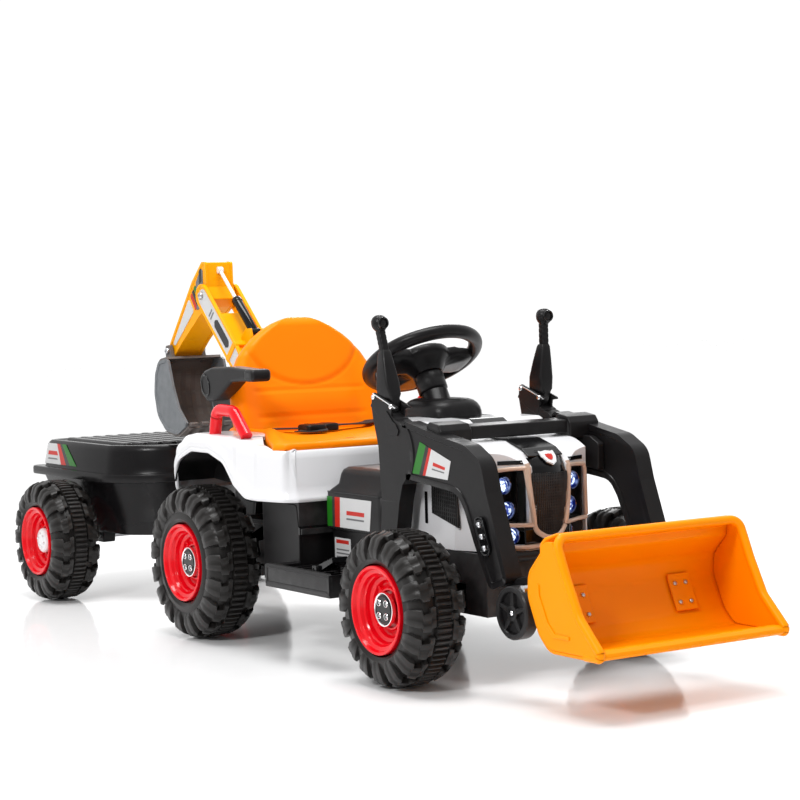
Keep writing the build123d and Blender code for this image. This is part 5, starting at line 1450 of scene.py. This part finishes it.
def lid_label(side, name):
    """The trailer lid's striped sticker: it lies on the sloping side wall."""
    top_left, top_right = Vector((-872, 295)), Vector((-786, 295))
    low_right, low_left = Vector((-732, 254)), Vector((-882, 254))
    shares = ((0.0, 0.52, LABEL_WHITE), (0.52, 0.68, LABEL_RED), (0.68, 0.80, BLACK_GLOSS),
              (0.80, 1.0, GREEN))
    for k, (a, b, paint) in enumerate(shares):
        quad = [top_left.lerp(top_right, a), top_left.lerp(top_right, b), low_left.lerp(low_right, b),
                low_left.lerp(low_right, a)]
        rings = []
        for push in (0.2, 0.9):
            rings.append([(p.x, side * (153.2 - (p.y - 250) * 0.087 + push), p.y) for p in quad])
        loft(f"lid_label_{name}_{k}", rings, "trailer", paint)
    for k, (z0, z1, paint) in enumerate(((272, 280, LABEL_RED), (263, 266, LABEL_GREY))):
        quad = [(-866, z1), (-826, z1), (-820, z0), (-868, z0)]
        rings = [[(x, side * (153.2 - (z - 250) * 0.087 + push), z) for x, z in quad] for push in (0.9, 1.2)]
        loft(f"lid_label_mark_{name}_{k}", rings, "trailer", paint)


for side, name in SIDES:
    lid_label(side, name)

# ------------------------------------------------------------------ floor, light and camera
floor_mesh = bpy.data.meshes.new("floor")
span = 14.0
floor_mesh.from_pydata([(-span, -span, 0), (span, -span, 0), (span, span, 0), (-span, span, 0)], [],
                       [(0, 1, 2, 3)])
floor = bpy.data.objects.new("floor", floor_mesh)
bpy.context.scene.collection.objects.link(floor)
floor_paint = plastic("floor_gloss", (0.97, 0.97, 0.975), 0.08, grain=40.0, bump=0.0, vary=0.004)
floor_mesh.materials.append(floor_paint)

world = bpy.data.worlds.new("studio")
bpy.context.scene.world = world
world.use_nodes = True
backdrop = world.node_tree.nodes["Background"]
backdrop.inputs["Color"].default_value = (1.0, 1.0, 1.0, 1)
world_nodes, world_links = world.node_tree.nodes, world.node_tree.links
sky = world_nodes.new("ShaderNodeTexCoord")
toward = world_nodes.new("ShaderNodeVectorMath")
toward.operation = "DOT_PRODUCT"
toward.inputs[1].default_value = (0.86, -0.42, 0.05)
world_links.new(sky.outputs["Generated"], toward.inputs[0])
dim = world_nodes.new("ShaderNodeMapRange")
dim.inputs["From Min"].default_value = -0.25
dim.inputs["From Max"].default_value = 0.80
dim.inputs["To Min"].default_value = 1.07
dim.inputs["To Max"].default_value = 0.42
world_links.new(toward.outputs["Value"], dim.inputs["Value"])
world_links.new(dim.outputs["Result"], backdrop.inputs["Strength"])


def soft_light(name, spot, aim, size, watts):
    """A large square lamp, turned to face a point."""
    lamp = bpy.data.lights.new(name, "AREA")
    lamp.shape = "RECTANGLE"
    lamp.size, lamp.size_y = size
    lamp.energy = watts
    holder = bpy.data.objects.new(name, lamp)
    holder.location = spot
    holder.rotation_mode = "QUATERNION"
    holder.rotation_quaternion = (Vector(aim) - Vector(spot)).to_track_quat("-Z", "Y")
    bpy.context.scene.collection.objects.link(holder)


soft_light("key", (1.5, -2.6, 2.3), (0.1, 0, 0.3), (0.7, 0.5), 52)
soft_light("top", (0.2, -0.2, 3.0), (0.0, 0, 0.2), (1.8, 1.0), 70)
soft_light("front", (3.4, 0.9, 1.3), (0.3, 0, 0.2), (0.5, 0.7), 1.5)
soft_light("rim", (-2.4, 1.8, 1.8), (-0.2, 0, 0.3), (1.0, 0.8), 16)

CAMERA_SPOT = Vector((3.10624, -1.89851, 0.57800))
azimuth, elevation, roll = math.radians(56.758), math.radians(2.874), math.radians(-1.538)
back = Vector((math.sin(azimuth) * math.cos(elevation), -math.cos(azimuth) * math.cos(elevation),
               math.sin(elevation)))
level_right = (-back).cross(Vector((0, 0, 1))).normalized()
level_up = level_right.cross(-back).normalized()
right = level_right * math.cos(roll) + level_up * math.sin(roll)
up = level_up * math.cos(roll) - level_right * math.sin(roll)
camera_data = bpy.data.cameras.new("camera")
camera_data.lens = 94.93
camera_data.sensor_width = 36.0
camera = bpy.data.objects.new("camera", camera_data)
axes = Matrix((right, up, back)).transposed().to_4x4()
camera.matrix_world = Matrix.Translation(CAMERA_SPOT) @ axes
bpy.context.scene.collection.objects.link(camera)
bpy.context.scene.camera = camera
bpy.context.scene.view_settings.view_transform = "Standard"
